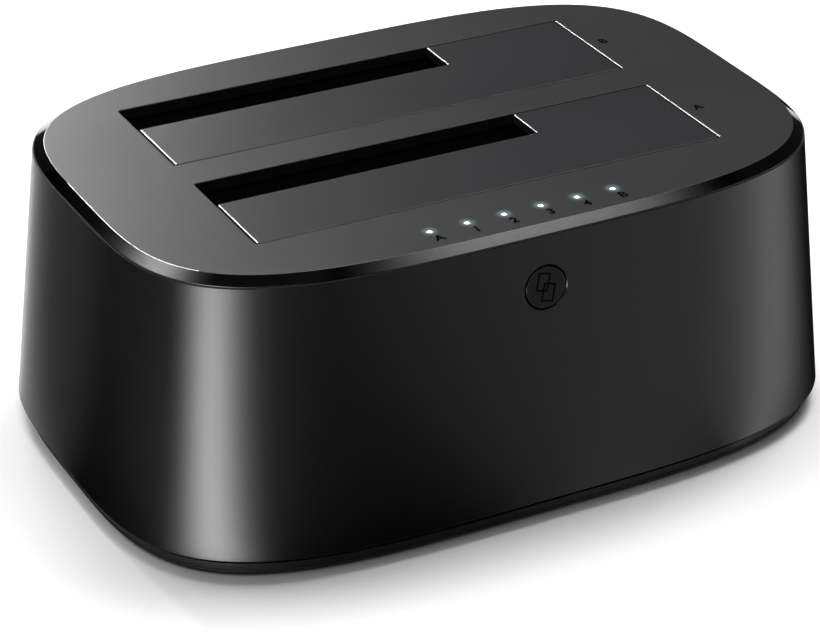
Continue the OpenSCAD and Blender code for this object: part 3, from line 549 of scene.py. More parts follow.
# %% Bays and lights, from the solids
end_gap = 0.35 * MM
edge_gap = 0.25 * MM
bay_depth = 28.6 * MM
slot_depth = 10.1 * MM
slot_length = 71.1 * MM
flap_thick = 2.0 * MM
rim_radius = 0.22 * MM
rim_width = 1.15 * rim_radius
corner_radius = 0.5 * MM
lip_over = 1.1 * MM
lip_seat = shoulder_z - 0.7 * MM
hinge_head = 61.0 * MM
bay_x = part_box("flap_a")[1].x + end_gap
slot_end = slot_length - bay_x
bays = {}
for letter in "ab":
    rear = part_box("flap_" + letter)[1].y
    bays[letter] = (rear - lip_over - bay_depth, rear - lip_over)
pipe_low, pipe_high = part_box("light_pipes")
pipe_radius = 0.65 * MM
light_bore = pipe_radius + 0.02 * MM
light_edge = 0.08 * MM
light_count = 6
light_y = (pipe_low.y + pipe_high.y) / 2
flange_radius = (pipe_high.y - pipe_low.y) / 2
light_pitch = (pipe_high.x - pipe_low.x - 2 * flange_radius) / (light_count - 1)
light_xs = [light_pitch * (k - (light_count - 1) / 2) for k in range(light_count)]
print("bays:", {k: [round(v / MM, 2) for v in pair] for k, pair in bays.items()}, "lights:", len(light_xs))


# %% Cover
def circle(x, y, radius, z, steps=32):
    """Ring of points on a level circle."""
    turns = [2 * math.pi * k / steps for k in range(steps)]
    return [Vector((x + radius * math.cos(a), y + radius * math.sin(a), z)) for a in turns]


def quarter(radius, steps=4, drop=None):
    """Widening and drop at each step of a rim that turns from level to upright."""
    drop = drop or radius
    return [(radius * (1 - math.sin(a)), drop * (1 - math.cos(a)))
            for a in (math.pi / 2 * k / steps for k in range(steps + 1))]


def faces_left(ring, downwards):
    """Test for the parts of a ring that run along Y on the side that faces left, towards the light, which is
    painted bright.
    """
    count = len(ring)

    def lit_side(i):
        run = ring[(i + 1) % count] - ring[i]
        return (run.y < 0) == downwards and abs(run.y) > 2 * abs(run.x)

    return lit_side


cover = Mesh()
skirt_offset = bevel_run - 2.6 * MM
inner_radius = 0.17 * MM
outer_radius = 0.12 * MM
round_steps = 5
cover_profile = rounded([(-1 * MM, top_z, 0), (0, top_z, inner_radius), (bevel_run, shoulder_z, outer_radius),
                         (skirt_offset, shoulder_z, 0)], round_steps, closed=False)
cover_rings = [outline(p.x, p.y) for p in cover_profile[1:]]
# Only the left of the top's inner edge takes cut finishes, so that only there it shows a painted highlight.
left_end, highlight_rear_end = -0.9 * half_x, 0.2 * half_y


def inner_edge(i):
    """Finish of the inner edge: a painted highlight of bright cut metal at the left front, the bevel's cut
    finish at the left rear, else matte.
    """
    p = cover_rings[0][i]
    if p.x > left_end:
        return 0
    return 2 if p.y < highlight_rear_end else 1


cover_finish = [1] * (len(cover_rings) - 1 - round_steps) + [inner_edge] * round_steps
cover_rows = cover.loft(list(reversed(cover_rings)), cover_finish)
hole_rows = []
for front, rear in bays.values():
    opening = rectangle((-bay_x, front), (bay_x, rear))
    middle = (front + rear) / 2
    rim = [flat_ring(grown(opening, wide), corner_radius + wide, top_z - drop)
           for wide, drop in quarter(rim_width, 5, rim_radius)]
    bottom = [Vector((p.x, p.y, hinge_head if p.y < middle else lip_seat)) for p in rim[-1]]
    # Rim sides that face left take the bright cut finish, a painted highlight.
    lit_side = faces_left(rim[0], False)
    # The other rim sides take the darker rim finish, a painted shade along the gap.
    finish = [lambda i, lit_side=lit_side: 2 if lit_side(i) else 4] * (len(rim) - 1) + [3]
    hole_rows.append(cover.loft(rim + [bottom], finish)[0])
for x in light_xs:
    rim = [circle(x, light_y, light_bore + wide, top_z - drop) for wide, drop in quarter(light_edge, 3)]
    hole_rows.append(cover.loft(rim + [circle(x, light_y, light_bore, hinge_head)], 3)[0])
cover.fill(cover_rows[-1], hole_rows, 0)
cover.carry("top_cover", lambda corners: max(p.z for p in corners) < hinge_head + 0.01 * MM, 3)
top_cover = cover.make("moulded_cover", "dock", [cover_matte, bevel_cut, painted_highlight_cut, inner_black, rim_painted_shade])
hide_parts("top_cover")
print("cover:", len(top_cover.data.polygons), "faces")

# %% [markdown]
# ## The side wall
#
# The wall is a sleeve that leans outwards towards the table, moulded in one piece with a flat panel for the
# sockets at the rear. It is a loft of a rounded profile, and the button hole and the rear recess are cut
# with booleans, because they cross many of its strips. The cutter for the button hole has a flared mouth,
# which gives the hole its thin bright ring.

# %% Wall, with its holes cut
def evaluated_mesh(obj):
    """Mesh that an object gives in the scene; the object itself is removed."""
    bpy.context.view_layer.update()
    mesh = bpy.data.meshes.new_from_object(obj.evaluated_get(bpy.context.evaluated_depsgraph_get()))
    bpy.data.objects.remove(obj)
    return mesh


def cut_out(mesh, *cutters):
    """Mesh of the first shape with the others taken away."""
    target = placed("target", mesh)
    helpers = [placed("cutter", cutter) for cutter in cutters]
    for helper in helpers:
        step = target.modifiers.new("cut", "BOOLEAN")
        step.object = helper
        step.solver = "EXACT"
    result = evaluated_mesh(target)
    for helper in helpers:
        bpy.data.objects.remove(helper)
    return result


def plain_mesh(shape, name):
    """Mesh of gathered faces, with their finishes, before it is an object."""
    mesh = bpy.data.meshes.new(name)
    mesh.from_pydata(shape.points, [], shape.faces)
    mesh.polygons.foreach_set("material_index", shape.finish)
    work = bmesh.new()
    work.from_mesh(mesh)
    bmesh.ops.recalc_face_normals(work, faces=work.faces)
    work.to_mesh(mesh)
    work.free()
    return mesh


def axis_ring(centre, axis, radius, steps=64):
    """Circle of points about an axis."""
    turn = Vector((0, 0, 1)).rotation_difference(axis)
    return [centre + turn @ p for p in circle(0, 0, radius, 0, steps)]


def stand(points, y):
    """Points drawn in plan, stood upright as a rear face at a depth."""
    return [Vector((p.x, y, p.y)) for p in points]


button_low, button_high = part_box("copy_button")
button_radius = 4.3 * MM
button_gap = 0.3 * MM
button_sink = 0.08 * MM
button_z = (button_low.z + button_high.z) / 2
wall_angle = math.atan(lean)
wall_normal = Vector((0, -math.cos(wall_angle), math.sin(wall_angle)))
wall_point = Vector((0, -half_y - wall_offset(button_z), button_z))
inward = Vector((0, 1, 0))

wall_thick = 2.4 * MM
head_radius = 0.22 * MM
foot_radius = 0.16 * MM
sleeve = Mesh()
foot_offset, head_offset = wall_offset(seam_z), wall_offset(shoulder_z)
wall_profile = rounded([(head_offset, shoulder_z, head_radius), (foot_offset, seam_z, foot_radius),
                        (foot_offset - wall_thick, seam_z, 0), (head_offset - wall_thick, shoulder_z, 0)])
sleeve.loft([outline(p.x, p.y) for p in reversed(wall_profile)], 0, closed=True)

bore = button_radius + button_gap
mouth = 0.18 * MM
lead = 1 * MM
bore_depth = 6 * MM
hole = Mesh()
hole_rings = [axis_ring(wall_point + wall_normal * lead, -wall_normal, bore + mouth + lead),
              axis_ring(wall_point - wall_normal * mouth, -wall_normal, bore),
              axis_ring(wall_point + inward * bore_depth, inward, bore)]
hole_rows = hole.loft(hole_rings, [0, 1])
hole.face(list(reversed(hole_rows[0])), 1)
hole.face(hole_rows[-1], 1)

panel_x = 36 * MM
panel_y = 52.2967 * MM
panel_low, panel_high = 8.2 * MM, 25.2 * MM
recess_corner = 1.2 * MM
recess_ends = (-1 * MM, 4 * MM)
recess = Mesh()
recess_corners = rectangle((-panel_x, panel_low), (panel_x, panel_high))
recess_ring = flat_ring(recess_corners, recess_corner, 0)
recess_rows = recess.loft([stand(recess_ring, panel_y + deep) for deep in recess_ends], 0)
recess.face(recess_rows[-1], 0)
recess.face(list(reversed(recess_rows[0])), 0)

shell_mesh = cut_out(plain_mesh(sleeve, "wall"), plain_mesh(hole, "hole"), plain_mesh(recess, "recess"))
side_wall = dress("moulded_wall", shell_mesh, "dock", [shell_satin, inner_black])
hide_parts("body_shell")
print("wall:", len(side_wall.data.polygons), "faces")

# %% [markdown]
# The rear panel is a plate with three cutouts. It is filled round its holes in the same way as the cover,
# lying flat, and then stood upright behind the recess.

# %% Rear panel
data_low, data_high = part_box("data_socket")
switch_low, switch_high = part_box("power_switch")
pin_low, pin_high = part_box("inlet_pin")
panel_thick = 2.2 * MM
panel_slack = 0.2 * MM
panel_lap = 1.5 * MM
cutout_corner = 0.3 * MM
cutout_rim = 0.15 * MM
barrel_radius = 4.0 * MM
switch_case = (13 * MM, 8.4 * MM)
inlet_x, inlet_z = (pin_low.x + pin_high.x) / 2, (pin_low.z + pin_high.z) / 2
switch_x, switch_z = (switch_low.x + switch_high.x) / 2, (switch_low.z + switch_high.z) / 2

panel = Mesh()
data_edge = rectangle((data_low.x, data_low.z), (data_high.x, data_high.z))
switch_edge = rectangle((switch_x - switch_case[0] / 2, switch_z - switch_case[1] / 2),
                        (switch_x + switch_case[0] / 2, switch_z + switch_case[1] / 2))
cutouts = [flat_ring(grown(data_edge, panel_slack), cutout_corner, 0),
           circle(inlet_x, inlet_z, barrel_radius + panel_slack, 0, 48),
           flat_ring(grown(switch_edge, panel_slack), cutout_corner, 0)]
front_rows = []
for ring in cutouts:
    centre = sum(ring, Vector()) / len(ring)
    rim = [stand([p + (p - centre).normalized() * wide for p in ring], panel_y - drop)
           for wide, drop in quarter(cutout_rim, 3)]
    front_rows.append(panel.loft([stand(ring, panel_y - panel_thick)] + rim[::-1], 0)[-1])
panel_outline = flat_ring(grown(recess_corners, panel_lap), recess_corner, 0)
panel.fill(panel.add(stand(panel_outline, panel_y)), front_rows, 0, (0, 1, 0))
rear_panel = panel.make("rear_panel", "dock", [shell_satin])
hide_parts("body_shell")
print("rear panel:", len(rear_panel.data.polygons), "faces")

# %% [markdown]
# ## The base
#
# The base is a shallow tray set in under the wall, so a dark seam runs round the dock just above the table.
# Only its band and lower edge show, and they are lofted smooth. The groove at the top of the band takes the
# near-black finish of the ink, a painted shade that darkens the seam. The floor with the vents, the rim and
# the screw posts are carried over from the solid.

# %% Base
base_inset = 1.5 * MM
base_edge = 0.9 * MM
band = foot_offset - base_inset
rim_offset = wall_offset(base_high.z) - wall_thick - 0.2 * MM
groove_wall = band - 0.5 * MM
groove_z = seam_z - 1.55 * MM
painted_shade_strips = 3
bead_wall = band - 0.14 * MM
bead_z = base_low.z + 0.5 * MM
bead_rise = 0.12 * MM
shelf_radius, bead_radius, edge_radius = 0.15 * MM, 0.1 * MM, 0.4 * MM
base = Mesh()
base_profile = rounded([(rim_offset, seam_z, 0), (groove_wall, seam_z, 0), (groove_wall, groove_z, 0),
                        (bead_wall, groove_z, shelf_radius), (bead_wall, bead_z + bead_rise, 0),
                        (band, bead_z, bead_radius), (band, base_low.z, edge_radius),
                        (band - base_edge, base_low.z, 0)], closed=False)
# The top strips, in the groove under the wall, take the near-black ink finish: a painted shade that darkens
# the seam.
groove_painted_shade = [0] * (len(base_profile) - 1 - painted_shade_strips) + [1] * painted_shade_strips
base.loft([outline(p.x, p.y) for p in reversed(base_profile)], groove_painted_shade)


def inside_outline(point, offset):
    """True if a point lies inside the outline at an offset, seen from above."""
    x, y = abs(point.x) / (half_x + offset), abs(point.y) / (half_y + offset)
    return x ** outline_squareness + y ** outline_squareness < 1


carried_offset = band - base_edge + 0.06 * MM
base.carry("base_plate", lambda corners: all(inside_outline(p, carried_offset) for p in corners), 0)
base_tray = base.make("moulded_base", "dock", [base_dull, ink_and_shade_black])
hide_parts("base_plate")
print("base:", len(base_tray.data.polygons), "faces")

# %% [markdown]
# ## The flaps
#
# Each flap is an L-shaped plate that closes a bay for large drives and leaves a slot for small ones. It
# hangs on a rolled hinge under its front edge. The plate is lofted with a rounded rim. The ends that face
# left, towards the light, take the bright cut finish as a painted highlight, and the rest of the rim takes a
# slightly darker finish as a painted shade. The rolled hinge and the stop lip are carried over from the solid
# below.

# %% Flaps
def carried_below(node, z):
    """Faces of a solid below a level, cut off cleanly there, as lists of points."""
    work = bmesh.new()
    work.from_mesh(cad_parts[node].data)
    bmesh.ops.remove_doubles(work, verts=work.verts, dist=weld_reach)
    everything = work.verts[:] + work.edges[:] + work.faces[:]
    bmesh.ops.bisect_plane(work, geom=everything, plane_co=(0, 0, z), plane_no=(0, 0, 1), clear_outer=True)
    faces = [[v.co.copy() for v in face.verts] for face in work.faces]
    work.free()
    return faces


flap_low_z = top_z + proud - flap_thick
hair_gap = 0.12 * MM
carry_overlap = 0.2 * MM
plate_x = bay_x - end_gap
flaps = {}
for letter, (front, rear) in bays.items():
    flap = Mesh()
    step_y = rear - slot_depth
    plate = [(-plate_x, front + hair_gap), (plate_x, front + hair_gap), (plate_x, rear - edge_gap),
             (slot_end, rear - edge_gap), (slot_end, step_y), (-plate_x, step_y)]
    rim = [flat_ring(grown(plate, -wide), corner_radius - wide, top_z - drop)
           for wide, drop in quarter(rim_width, 5, rim_radius)]
    foot = [Vector((p.x, p.y, flap_low_z)) for p in rim[-1]]
    # Rim sides that face left take the bright cut finish, a painted highlight.
    lit_side = faces_left(rim[0], True)
    # The other rim sides take the slightly darker rim finish, a painted shade along the gap.
    finish = [0] + [lambda i, lit_side=lit_side: 1 if lit_side(i) else 2] * (len(rim) - 1)
    rows = flap.loft([foot] + rim[::-1], finish)
    flap.fill(rows[-1], (), 0)
    for points in carried_below("flap_" + letter, flap_low_z + carry_overlap):
        flap.face(flap.add(points), 0)
    piece = flap.make("drive_flap_" + letter, "flap_" + letter, [flap_matte, painted_highlight_cut, rim_light_painted_shade])
    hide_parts("flap_" + letter)
    flaps[letter] = piece
print("flaps:", [len(piece.data.polygons) for piece in flaps.values()], "faces")

# %% [markdown]
# ## The copy button
#
# The button is a round cap that lies flush in the front wall and leans with it. Its rim is rounded, so a
# thin ring of light shows round it. The sign on it, two overlapping sheets, is printed: thin bars laid just
# in front of the face. Cap and sign ride on the button's own body and go in together.

# %% Button and its sign
face_point = wall_point + inward * button_sink
cap_rim = 0.2 * MM
cap_back = button_low.y + 4.0 * MM
stem_start = cap_back - 1.6 * MM
ink_height = 0.012 * MM
cap = Mesh()
cap_rings = [axis_ring(face_point - wall_normal * drop, wall_normal, button_radius - wide)
             for wide, drop in quarter(cap_rim)]
cap_rings.append(axis_ring(Vector((0, cap_back, button_z)), -inward, button_radius))
cap_rows = cap.loft(list(reversed(cap_rings)), 0)
cap.face(cap_rows[-1], 1)
cap.carry("copy_button", lambda corners: min(p.y for p in corners) > stem_start, 0)
button_cap = cap.make("button_cap", "button", [shell_satin, button_satin])
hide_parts("copy_button")

sheet_size = (2.7 * MM, 3.85 * MM)
sheet_shift = (0.78 * MM, 1.04 * MM)
bar = 0.36 * MM
sign_turn = Quaternion(wall_normal, math.radians(-12))
across = sign_turn @ Vector((1, 0, 0))
upward = sign_turn @ wall_normal.cross(Vector((1, 0, 0)))
sign = Mesh()
for side in (-1, 1):
    low = Vector((side * sheet_shift[0] - sheet_size[0] / 2, -side * sheet_shift[1] - sheet_size[1] / 2))
    outer = rectangle(low, low + Vector(sheet_size))
    rings = []
    for corners in (outer, grown(outer, -bar)):
        rings.append([face_point + across * x + upward * y + wall_normal * ink_height for x, y in corners])
    sign.loft(rings, 0)
button_sign = sign.make("button_sign", "button", [ink_and_shade_black])
print("button:", len(button_cap.data.polygons), "faces, sign:", len(button_sign.data.polygons))

# %% [markdown]
# ## Indicator lights and their marks
#
# Six clear rods bring the light of small emitters up to the cover. A rod could be glass with a lamp below
# it, but at this size a glowing tip reads the same and stays free of noise. The tip is a low dome. Light
# also spills onto the cover round each tip, which a thin disc shows, clear at its rim. The marks beside the
# lights are generic: letters for the bays, and numbers for how far a copy has come.

# %% Light finishes
def glowing(name, colour, strength, radius=None):
    """Finish that glows, and fades out towards a radius if one is given."""
    material, tree, shader = new_material(name)
    shader.inputs["Roughness"].default_value = 0.35
    shader.inputs["Emission Strength"].default_value = strength
    texture = use(tree, grain_group, Size=0.2, Patch=0.6)
    pale = tuple(part * 0.85 for part in colour)
    tone = blend_colours(tree, texture["Patches"], pale, colour)
    tree.links.new(tone, shader.inputs["Emission Color"])
    if radius:
        shader.inputs["Base Color"].default_value = (0.026, 0.026, 0.027, 1)
        run = add(tree, "ShaderNodeUVMap", uv_map="run").outputs["UV"]
        reach = add(tree, "ShaderNodeVectorMath", Vector=run, operation="LENGTH").outputs["Value"]
        near = spread(tree, reach, 0.2 * radius, radius, 1, 0)
        fade = maths(tree, "POWER", near, 2.2)
        tree.links.new(maths(tree, "MULTIPLY", fade, 0.8), shader.inputs["Alpha"])
    else:
        tree.links.new(blend_colours(tree, texture["Patches"], (0.7, 0.72, 0.75), (0.85, 0.87, 0.9)),
                       shader.inputs["Base Color"])
    return material


glow_radius = 2.3 * MM
light_white = glowing("light_white", (0.90, 0.97, 1.0), 2.2)
light_rim = glowing("light_rim", (0.45, 0.62, 0.66), 0.12)
light_spill = glowing("light_spill", (0.45, 0.62, 0.66), 0.65, glow_radius)
print("light finishes:", light_white.name, light_rim.name, light_spill.name)

# %% Rods, tips and spill
tip_depth = 0.2 * MM
rod_foot = hinge_head - 1.0 * MM
dome_height = 0.12 * MM
dome_turns = [math.radians(angle) for angle in (0, 22.5, 54, 72)]
rods = Mesh()
rods.carry("light_pipes", lambda corners: max(p.z for p in corners) < top_z - tip_depth, 1)
for x in light_xs:
    dome = [circle(x, light_y, pipe_radius, rod_foot)]
    for turn in dome_turns:
        sunk = dome_height * (1 - math.sin(turn))
        dome.append(circle(x, light_y, pipe_radius * math.cos(turn), top_z - sunk))
    rows = rods.loft(dome, [1, 2, 2, 0])
    tip = rods.add([Vector((x, light_y, top_z))])[0]
    for i in range(len(rows[-1])):
        rods.face([rows[-1][i], rows[-1][(i + 1) % len(rows[-1])], tip], 0)
light_rods = rods.make("light_rods", "dock", [light_white, mark_white, light_rim])
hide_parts("light_pipes")

spill_start = pipe_radius + 0.1 * MM
spill_z = top_z + 0.006 * MM
spill = Mesh()
for x in light_xs:
    inner = spill.add(circle(x, light_y, spill_start, spill_z))
    outer = spill.add(circle(x, light_y, glow_radius, spill_z))
    centre = Vector((x, light_y, 0))
    for i in range(len(inner)):
        j = (i + 1) % len(inner)
        corners = [inner[i], outer[i], outer[j], inner[j]]
        uv = [tuple((spill.points[k] - centre).xy) for k in corners]
        spill.face(corners, 0, uv)
light_spills = spill.make("light_spill", "dock", [light_spill])
print("lights:", light_count)


# %% Marks on the cover
mark_height = 2.3 * MM
mark_z = top_z + ink_height
mark_boldness = 0.035
mark_y = light_y - 3.15 * MM
mark_shift = 0.45 * MM
bay_mark_x = bay_x + 3.65 * MM
bay_mark_drop = 0.1 * MM


def printed(name, text, x, y):
    """Letter or number as thin ink on the cover, centred on a place."""
    curve = bpy.data.curves.new(name, "FONT")
    curve.body = text
    curve.offset = mark_boldness
    curve.resolution_u = 6
    mesh = evaluated_mesh(placed(name, curve))
    xs, ys = [v.co.x for v in mesh.vertices], [v.co.y for v in mesh.vertices]
    size = mark_height / (max(ys) - min(ys))
    middle = Vector(((max(xs) + min(xs)) / 2, (max(ys) + min(ys)) / 2, 0))
    for v in mesh.vertices:
        v.co = Vector((x, y, mark_z)) + (v.co - middle) * size
    mesh.uv_layers.new(name="run")
    mark = dress(name, mesh, "dock", [ink_and_shade_black], weld=False)


for x, text in zip(light_xs, "A1234B"):
    printed("mark_" + text, text, x + mark_shift, mark_y)
for letter, (front, rear) in bays.items():
    printed("bay_mark_" + letter, letter.upper(), bay_mark_x, (front + rear) / 2 - bay_mark_drop)
print("marks:", light_count + len(bays))

# %% [markdown]
# ## Inside the bays and at the rear
#
# The guides, sockets and the rear connectors have the right shapes in the frame, but hard edges. A softened
# copy of a solid welds its corners, joins the triangles of each flat face and bevels what is left, so that
# every edge gets a small highlight without modelling the piece again.

# %% Softened copies
same_face = math.radians(1)
hard_edge = math.radians(35)


def softened(node, body, width, material, slot):
    """Copy of a solid with bevelled edges, width in mm, riding on a body in the solid's place."""
    work = bmesh.new()
    work.from_mesh(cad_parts[node].data)
    bmesh.ops.remove_doubles(work, verts=work.verts, dist=weld_reach)
    bmesh.ops.dissolve_limit(work, angle_limit=same_face, verts=work.verts, edges=work.edges)
    hard = [edge for edge in work.edges if edge.is_manifold and edge.calc_face_angle(0) > hard_edge]
    bmesh.ops.bevel(work, geom=hard, offset=width * MM, segments=2, profile=0.5, affect="EDGES",
                    clamp_overlap=True)
    mesh = bpy.data.meshes.new(node + "_soft")
    work.to_mesh(mesh)
    work.free()
    for polygon in mesh.polygons:
        polygon.material_index = 0
    mesh.uv_layers.new(name="run")
    piece = dress(node + "_soft", mesh, body, [material], 30)
    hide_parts(node)
    return piece


soft_table = [
    ("bay_guide_a", "dock", 0.15, inner_black, "inner_black"),
    ("bay_guide_b", "dock", 0.15, inner_black, "inner_black"),
    ("drive_socket_a", "dock", 0.12, inner_black, "inner_black"),
    ("drive_socket_b", "dock", 0.12, inner_black, "inner_black"),
    ("data_socket", "dock", 0.12, steel, "steel"),
    ("data_tongue", "dock", 0.1, mark_white, "ribbon_white"),
    ("power_inlet", "dock", 0.15, inner_black, "inner_black"),
    ("power_switch", "dock", 0.2, inner_black, "inner_black"),
    ("power_rocker", "rocker", 0.2, inner_black, "inner_black"),
    ("rubber_feet", "dock", 0.3, rubber, "rubber"),
]
soft_pieces = [softened(*row) for row in soft_table]
print("softened:", [piece.name for piece in soft_pieces])

# %% [markdown]
# The board, the parts on it and the fasteners keep their solids, with finishes of their own. Circuit boards
# are green lacquer over copper tracks: square cells of Manhattan distance give runs with right angles.

# %% Boards and small parts
def board_lacquer(name):
    """Green lacquer with paler tracks under it and small gold holes."""
    material, tree, shader = new_material(name)
    where = add(tree, "ShaderNodeTexCoord").outputs["Object"]
    cells = add(tree, "ShaderNodeTexVoronoi", Vector=where, Scale=260.0, distance="MANHATTAN",
                feature="F2")
    track = spread(tree, cells.outputs["Distance"], 0.62, 0.66, 0, 1)
    holes = add(tree, "ShaderNodeTexVoronoi", Vector=where, Scale=190.0)
    hole = spread(tree, holes.outputs["Distance"], 0.09, 0.07, 0, 1)
    tone = blend_colours(tree, track, (0.008, 0.085, 0.030), (0.018, 0.150, 0.055))
    tone = blend_colours(tree, hole, tone, (0.62, 0.46, 0.20))
    tree.links.new(tone, shader.inputs["Base Color"])
    tree.links.new(spread(tree, track, 0, 1, 0.38, 0.28), shader.inputs["Roughness"])
    tree.links.new(hole, shader.inputs["Metallic"])
    bumps(tree, shader, track, 0.4, 0.03)
    return material


def repaint(node, material):
    """Give a solid that stays in view a finish of its own."""
    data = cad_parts[node].data
    data.materials.clear()
    data.materials.append(material)


board_green = board_lacquer("board_green")
finishes = {
    board_green: ["main_board", "indicator_board"],
    steel: ["base_screws", "guide_screws", "board_screws", "indicator_screws", "hinge_rod_a", "hinge_rod_b",
            "flap_spring_a", "flap_spring_b", "inlet_pin", "crystal", "capacitors"],
    gold: ["socket_contacts_a", "socket_contacts_b"],
    chip_black: ["bridge_chips", "inductors", "switch_body", "ribbon_headers"],
    mark_white: ["indicator_leds", "switch_plunger"],
}
for material, nodes in finishes.items():
    for node in nodes:
        repaint(node, material)
print("repainted:", sum(len(nodes) for nodes in finishes.values()))

# %% [markdown]
# ## The ribbon cable
#
# A flat cable joins the two boards. Its solid is a plain bowed strip, so it is replaced by what it is: a
# row of round insulated wires side by side that follow the same bow, with one wire marked red.

# %% Ribbon
ribbon_low, ribbon_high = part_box("ribbon_cable")
ribbon_thick = 0.4 * MM
wire_count = 10
wire_sides = 12
bow_steps = 24
wire_pitch = (ribbon_high.x - ribbon_low.x) / wire_count
ribbon_bow = ribbon_high.y - ribbon_low.y - ribbon_thick
ribbon_path = []
for k in range(bow_steps + 1):
    s = k / bow_steps
    y = ribbon_high.y - ribbon_thick / 2 - ribbon_bow * math.sin(math.pi * s) ** 2
    ribbon_path.append((y, ribbon_low.z + s * (ribbon_high.z - ribbon_low.z)))
red_pvc = moulded("red_pvc", (0.42, 0.03, 0.03), (0.5, 0.42), 0.3, 0.01, 1.1)
grey_pvc = moulded("grey_pvc", (0.36, 0.36, 0.37), (0.5, 0.42), 0.3, 0.01, 1.1)
ribbon = Mesh()
for wire in range(wire_count):
    centre_x = ribbon_low.x + (wire + 0.5) * wire_pitch
    rings = []
    for y, z in ribbon_path:
        turns = [2 * math.pi * k / wire_sides for k in range(wire_sides)]
        rings.append([Vector((centre_x + wire_pitch / 2 * math.cos(a), y + ribbon_thick / 2 * math.sin(a), z))
                      for a in turns])
    rows = ribbon.loft(rings, 1 if wire == 0 else 0)
    ribbon.face(list(reversed(rows[0])), 0)
    ribbon.face(rows[-1], 0)
flat_cable = ribbon.make("flat_cable", "dock", [grey_pvc, red_pvc], 60, weld=False)
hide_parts("ribbon_cable")
print("ribbon:", wire_count, "wires")

# %% [markdown]
# ## Floor and lamps
#
# A dark object is drawn by what it mirrors. The top mirrors a panel low behind the dock, and a narrow strip
# above it draws the bright inner edge. Large soft lamps above light the floor and give the shadow. The
# floor is plain and pale, and it stays finite so that its far rim is not mirrored.

# %% Floor
floor_reach = 1.4
floor_sides = 96
world_glow = 0.03
floor_finish = moulded("floor_paper", (0.86, 0.86, 0.86), (0.9, 0.85), 0.6, 0.004, 1.0, 0.0, patchy=0.99)
floor_mesh = Mesh()
floor_rings = [circle(0, 0, radius, 0, floor_sides) for radius in (floor_reach, floor_reach / 2)]
floor_rows = floor_mesh.loft(floor_rings, 0)
floor_mesh.face(floor_rows[-1], 0)
floor_data = plain_mesh(floor_mesh, "floor")
floor_data.materials.append(floor_finish)
floor = placed("floor", floor_data)

scene.view_settings.view_transform = "Standard"
world = bpy.data.worlds.new("studio")
world.use_nodes = True
backdrop = world.node_tree.nodes["Background"].inputs
backdrop["Color"].default_value = (1, 1, 1, 1)
backdrop["Strength"].default_value = world_glow
scene.world = world
print("floor:", floor_reach, "m")


# %% Lamps
aim = Vector((0, 0, 30 * MM))


def direction(azimuth, elevation):
    """Unit vector away from the dock. Azimuth 0 is in front, and 90 is to the right."""
    a, e = math.radians(azimuth), math.radians(elevation)
    return Vector((math.sin(a) * math.cos(e), -math.cos(a) * math.cos(e), math.sin(e)))


def softbox(name, azimuth, elevation, distance, width, height, radiance):
    """Rectangular lamp that faces the dock; a radiance of 1 mirrors as white."""
    away = direction(azimuth, elevation)
    lamp = bpy.data.lights.new(name, "AREA")
    lamp.shape = "RECTANGLE"
    lamp.size, lamp.size_y = width, height
    lamp.energy = radiance * math.pi * width * height
    obj = placed(name, lamp)
    obj.location = aim + distance * away
    obj.rotation_euler = (-away).to_track_quat("-Z", "Y").to_euler()
    obj.visible_camera = False


softbox("rear_key", 158, 77, 1.2, 0.9, 0.44, 9.8)
softbox("right_fill", 102, 66, 1.2, 0.5, 0.4, 11)
softbox("camera_box", -28, 45, 1.5, 1.0, 0.5, 1.5)
softbox("left_box", -80, 45, 1.4, 0.7, 0.5, 2.6)
softbox("top_panel", 172, 25, 1.0, 0.24, 0.2, 19)
softbox("edge_strip", 187, 45, 1.0, 0.04, 0.6, 24)

# %% [markdown]
# ## Light cards
#
# The wall leans back, yet it mirrors mostly the floor, so its bright bands come from cards that lie there.
# A card is a fan that glows most along one azimuth and fades in a bell curve, because the hard rim of a
# lamp would show as a line in gloss. Two panels in the air do the same for the bevel. Cards are clear from
# behind and hidden from the camera.

# %% Light cards
def bell(tree, value, middle, width):
    """Smooth hump of height 1 round a middle."""
    off = maths(tree, "DIVIDE", maths(tree, "SUBTRACT", value, middle), width)
    return maths(tree, "EXPONENT", maths(tree, "MULTIPLY", maths(tree, "MULTIPLY", off, off), -0.5), 0.0)


def one_sided_glow(name):
    """Finish that glows on the front of a card and is clear from behind, with its tree and strength input."""
    material, tree, surface = empty_material(name)
    glow = add(tree, "ShaderNodeEmission")
    clear = add(tree, "ShaderNodeBsdfTransparent")
    behind = add(tree, "ShaderNodeNewGeometry").outputs["Backfacing"]
    sides = add(tree, "ShaderNodeMixShader")
    for place, source in enumerate((behind, glow.outputs["Emission"], clear.outputs["BSDF"])):
        tree.links.new(source, sides.inputs[place])
    tree.links.new(sides.outputs["Shader"], surface)
    return material, tree, glow.inputs["Strength"]


def put_card(name, points, faces, material):
    """Card that lights and is mirrored, but that the camera does not see."""
    data = bpy.data.meshes.new(name)
    data.from_pydata(points, [], faces)
    data.materials.append(material)
    card = placed(name, data)
    card.visible_camera = False
    card.visible_shadow = False
    return card


def glow_panel(name, azimuth, elevation, distance, fade, radiance):
    """Panel that faces the dock and fades smoothly from its middle."""
    material, tree, strength = one_sided_glow(name)
    place = add(tree, "ShaderNodeTexCoord").outputs["Object"]
    where = add(tree, "ShaderNodeSeparateXYZ", Vector=place).outputs
    hump = maths(tree, "MULTIPLY", bell(tree, where["X"], 0.0, fade), bell(tree, where["Y"], 0.0, fade))
    tree.links.new(maths(tree, "MULTIPLY", hump, radiance), strength)
    half = 3 * fade
    corners = [(x, y, 0) for x, y in rectangle((-half, -half), (half, half))]
    card = put_card(name, corners, [(0, 1, 2, 3)], material)
    away = direction(azimuth, elevation)
    card.location = aim + distance * away
    card.rotation_euler = (-away).to_track_quat("Z", "Y").to_euler()


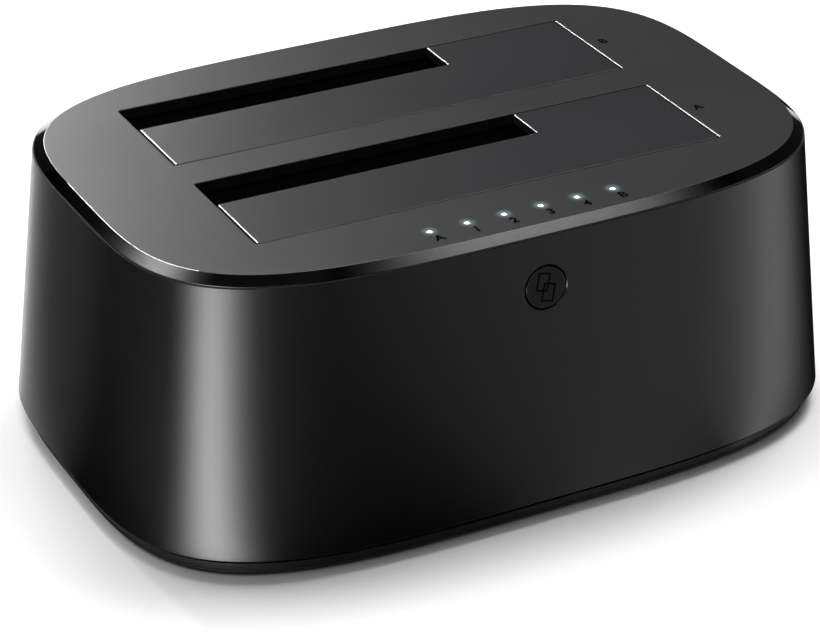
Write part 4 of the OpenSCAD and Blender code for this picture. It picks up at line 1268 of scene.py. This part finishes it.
def fan_glow(name, centre, glows):
    """Finish of a fan that glows round some azimuths from its centre: (azimuth, width, strength) each."""
    material, tree, strength = one_sided_glow(name)
    where = add(tree, "ShaderNodeTexCoord").outputs["Object"]
    from_centre = add(tree, "ShaderNodeVectorMath", Vector=where, operation="SUBTRACT")
    from_centre.inputs[1].default_value = (*centre, 0)
    parts = add(tree, "ShaderNodeSeparateXYZ", Vector=from_centre.outputs["Vector"]).outputs
    azimuth = maths(tree, "ARCTAN2", parts["X"], maths(tree, "MULTIPLY", parts["Y"], -1.0))
    total = None
    for middle, width, height in glows:
        part = maths(tree, "MULTIPLY", bell(tree, azimuth, math.radians(middle), math.radians(width)), height)
        total = maths(tree, "ADD", total, part) if total else part
    tree.links.new(total, strength)
    return material


fan_steps = 48
first_reach, reach_step = 5 * MM, 0.5 * MM


def light_card(name, centre, azimuths, far, start, lift, glows):
    """Fan-shaped card on the floor, from a gap outside the wall's foot out to a distance."""
    centre = Vector(centre) * MM
    fan = Mesh()
    near_row, far_row = [], []
    for k in range(fan_steps + 1):
        a = math.radians(azimuths[0] + (azimuths[1] - azimuths[0]) * k / fan_steps)
        along = Vector((math.sin(a), -math.cos(a)))
        reach = first_reach
        while inside_outline(centre + along * reach, foot_offset + start):
            reach += reach_step
        near_row.append(Vector((*(centre + along * reach), lift)))
        far_row.append(Vector((*(centre + along * far), lift)))
    near_row, far_row = fan.add(near_row), fan.add(far_row)
    for k in range(fan_steps):
        fan.face([near_row[k], far_row[k], far_row[k + 1], near_row[k + 1]], 0)
    put_card(name, fan.points, fan.faces, fan_glow(name, centre, glows))


light_card("front_card", (-10, -20), (-130, 75), 0.4, 2 * MM, 0.2 * MM, [(35, 18, 1.05)])
light_card("corner_card", (-48.3, -33.8), (-115, 10), 0.4, 9 * MM, 0.3 * MM, [(-54.5, 11.2, 26)])
light_card("right_card", (44, -53), (30, 150), 0.4, 1 * MM, 0.4 * MM, [(69, 13.5, 3.1), (25, 20, 1.1)])
light_card("flank_card", (-78, -10), (-179, -78), 0.35, 1 * MM, 0.5 * MM, [(-179, 9.5, 1.0)])
glow_panel("bevel_panel", -131.5, 49.5, 1.03, 0.18, 4.0)
glow_panel("right_panel", 58.2, 59.6, 1.05, 0.085, 2.4)
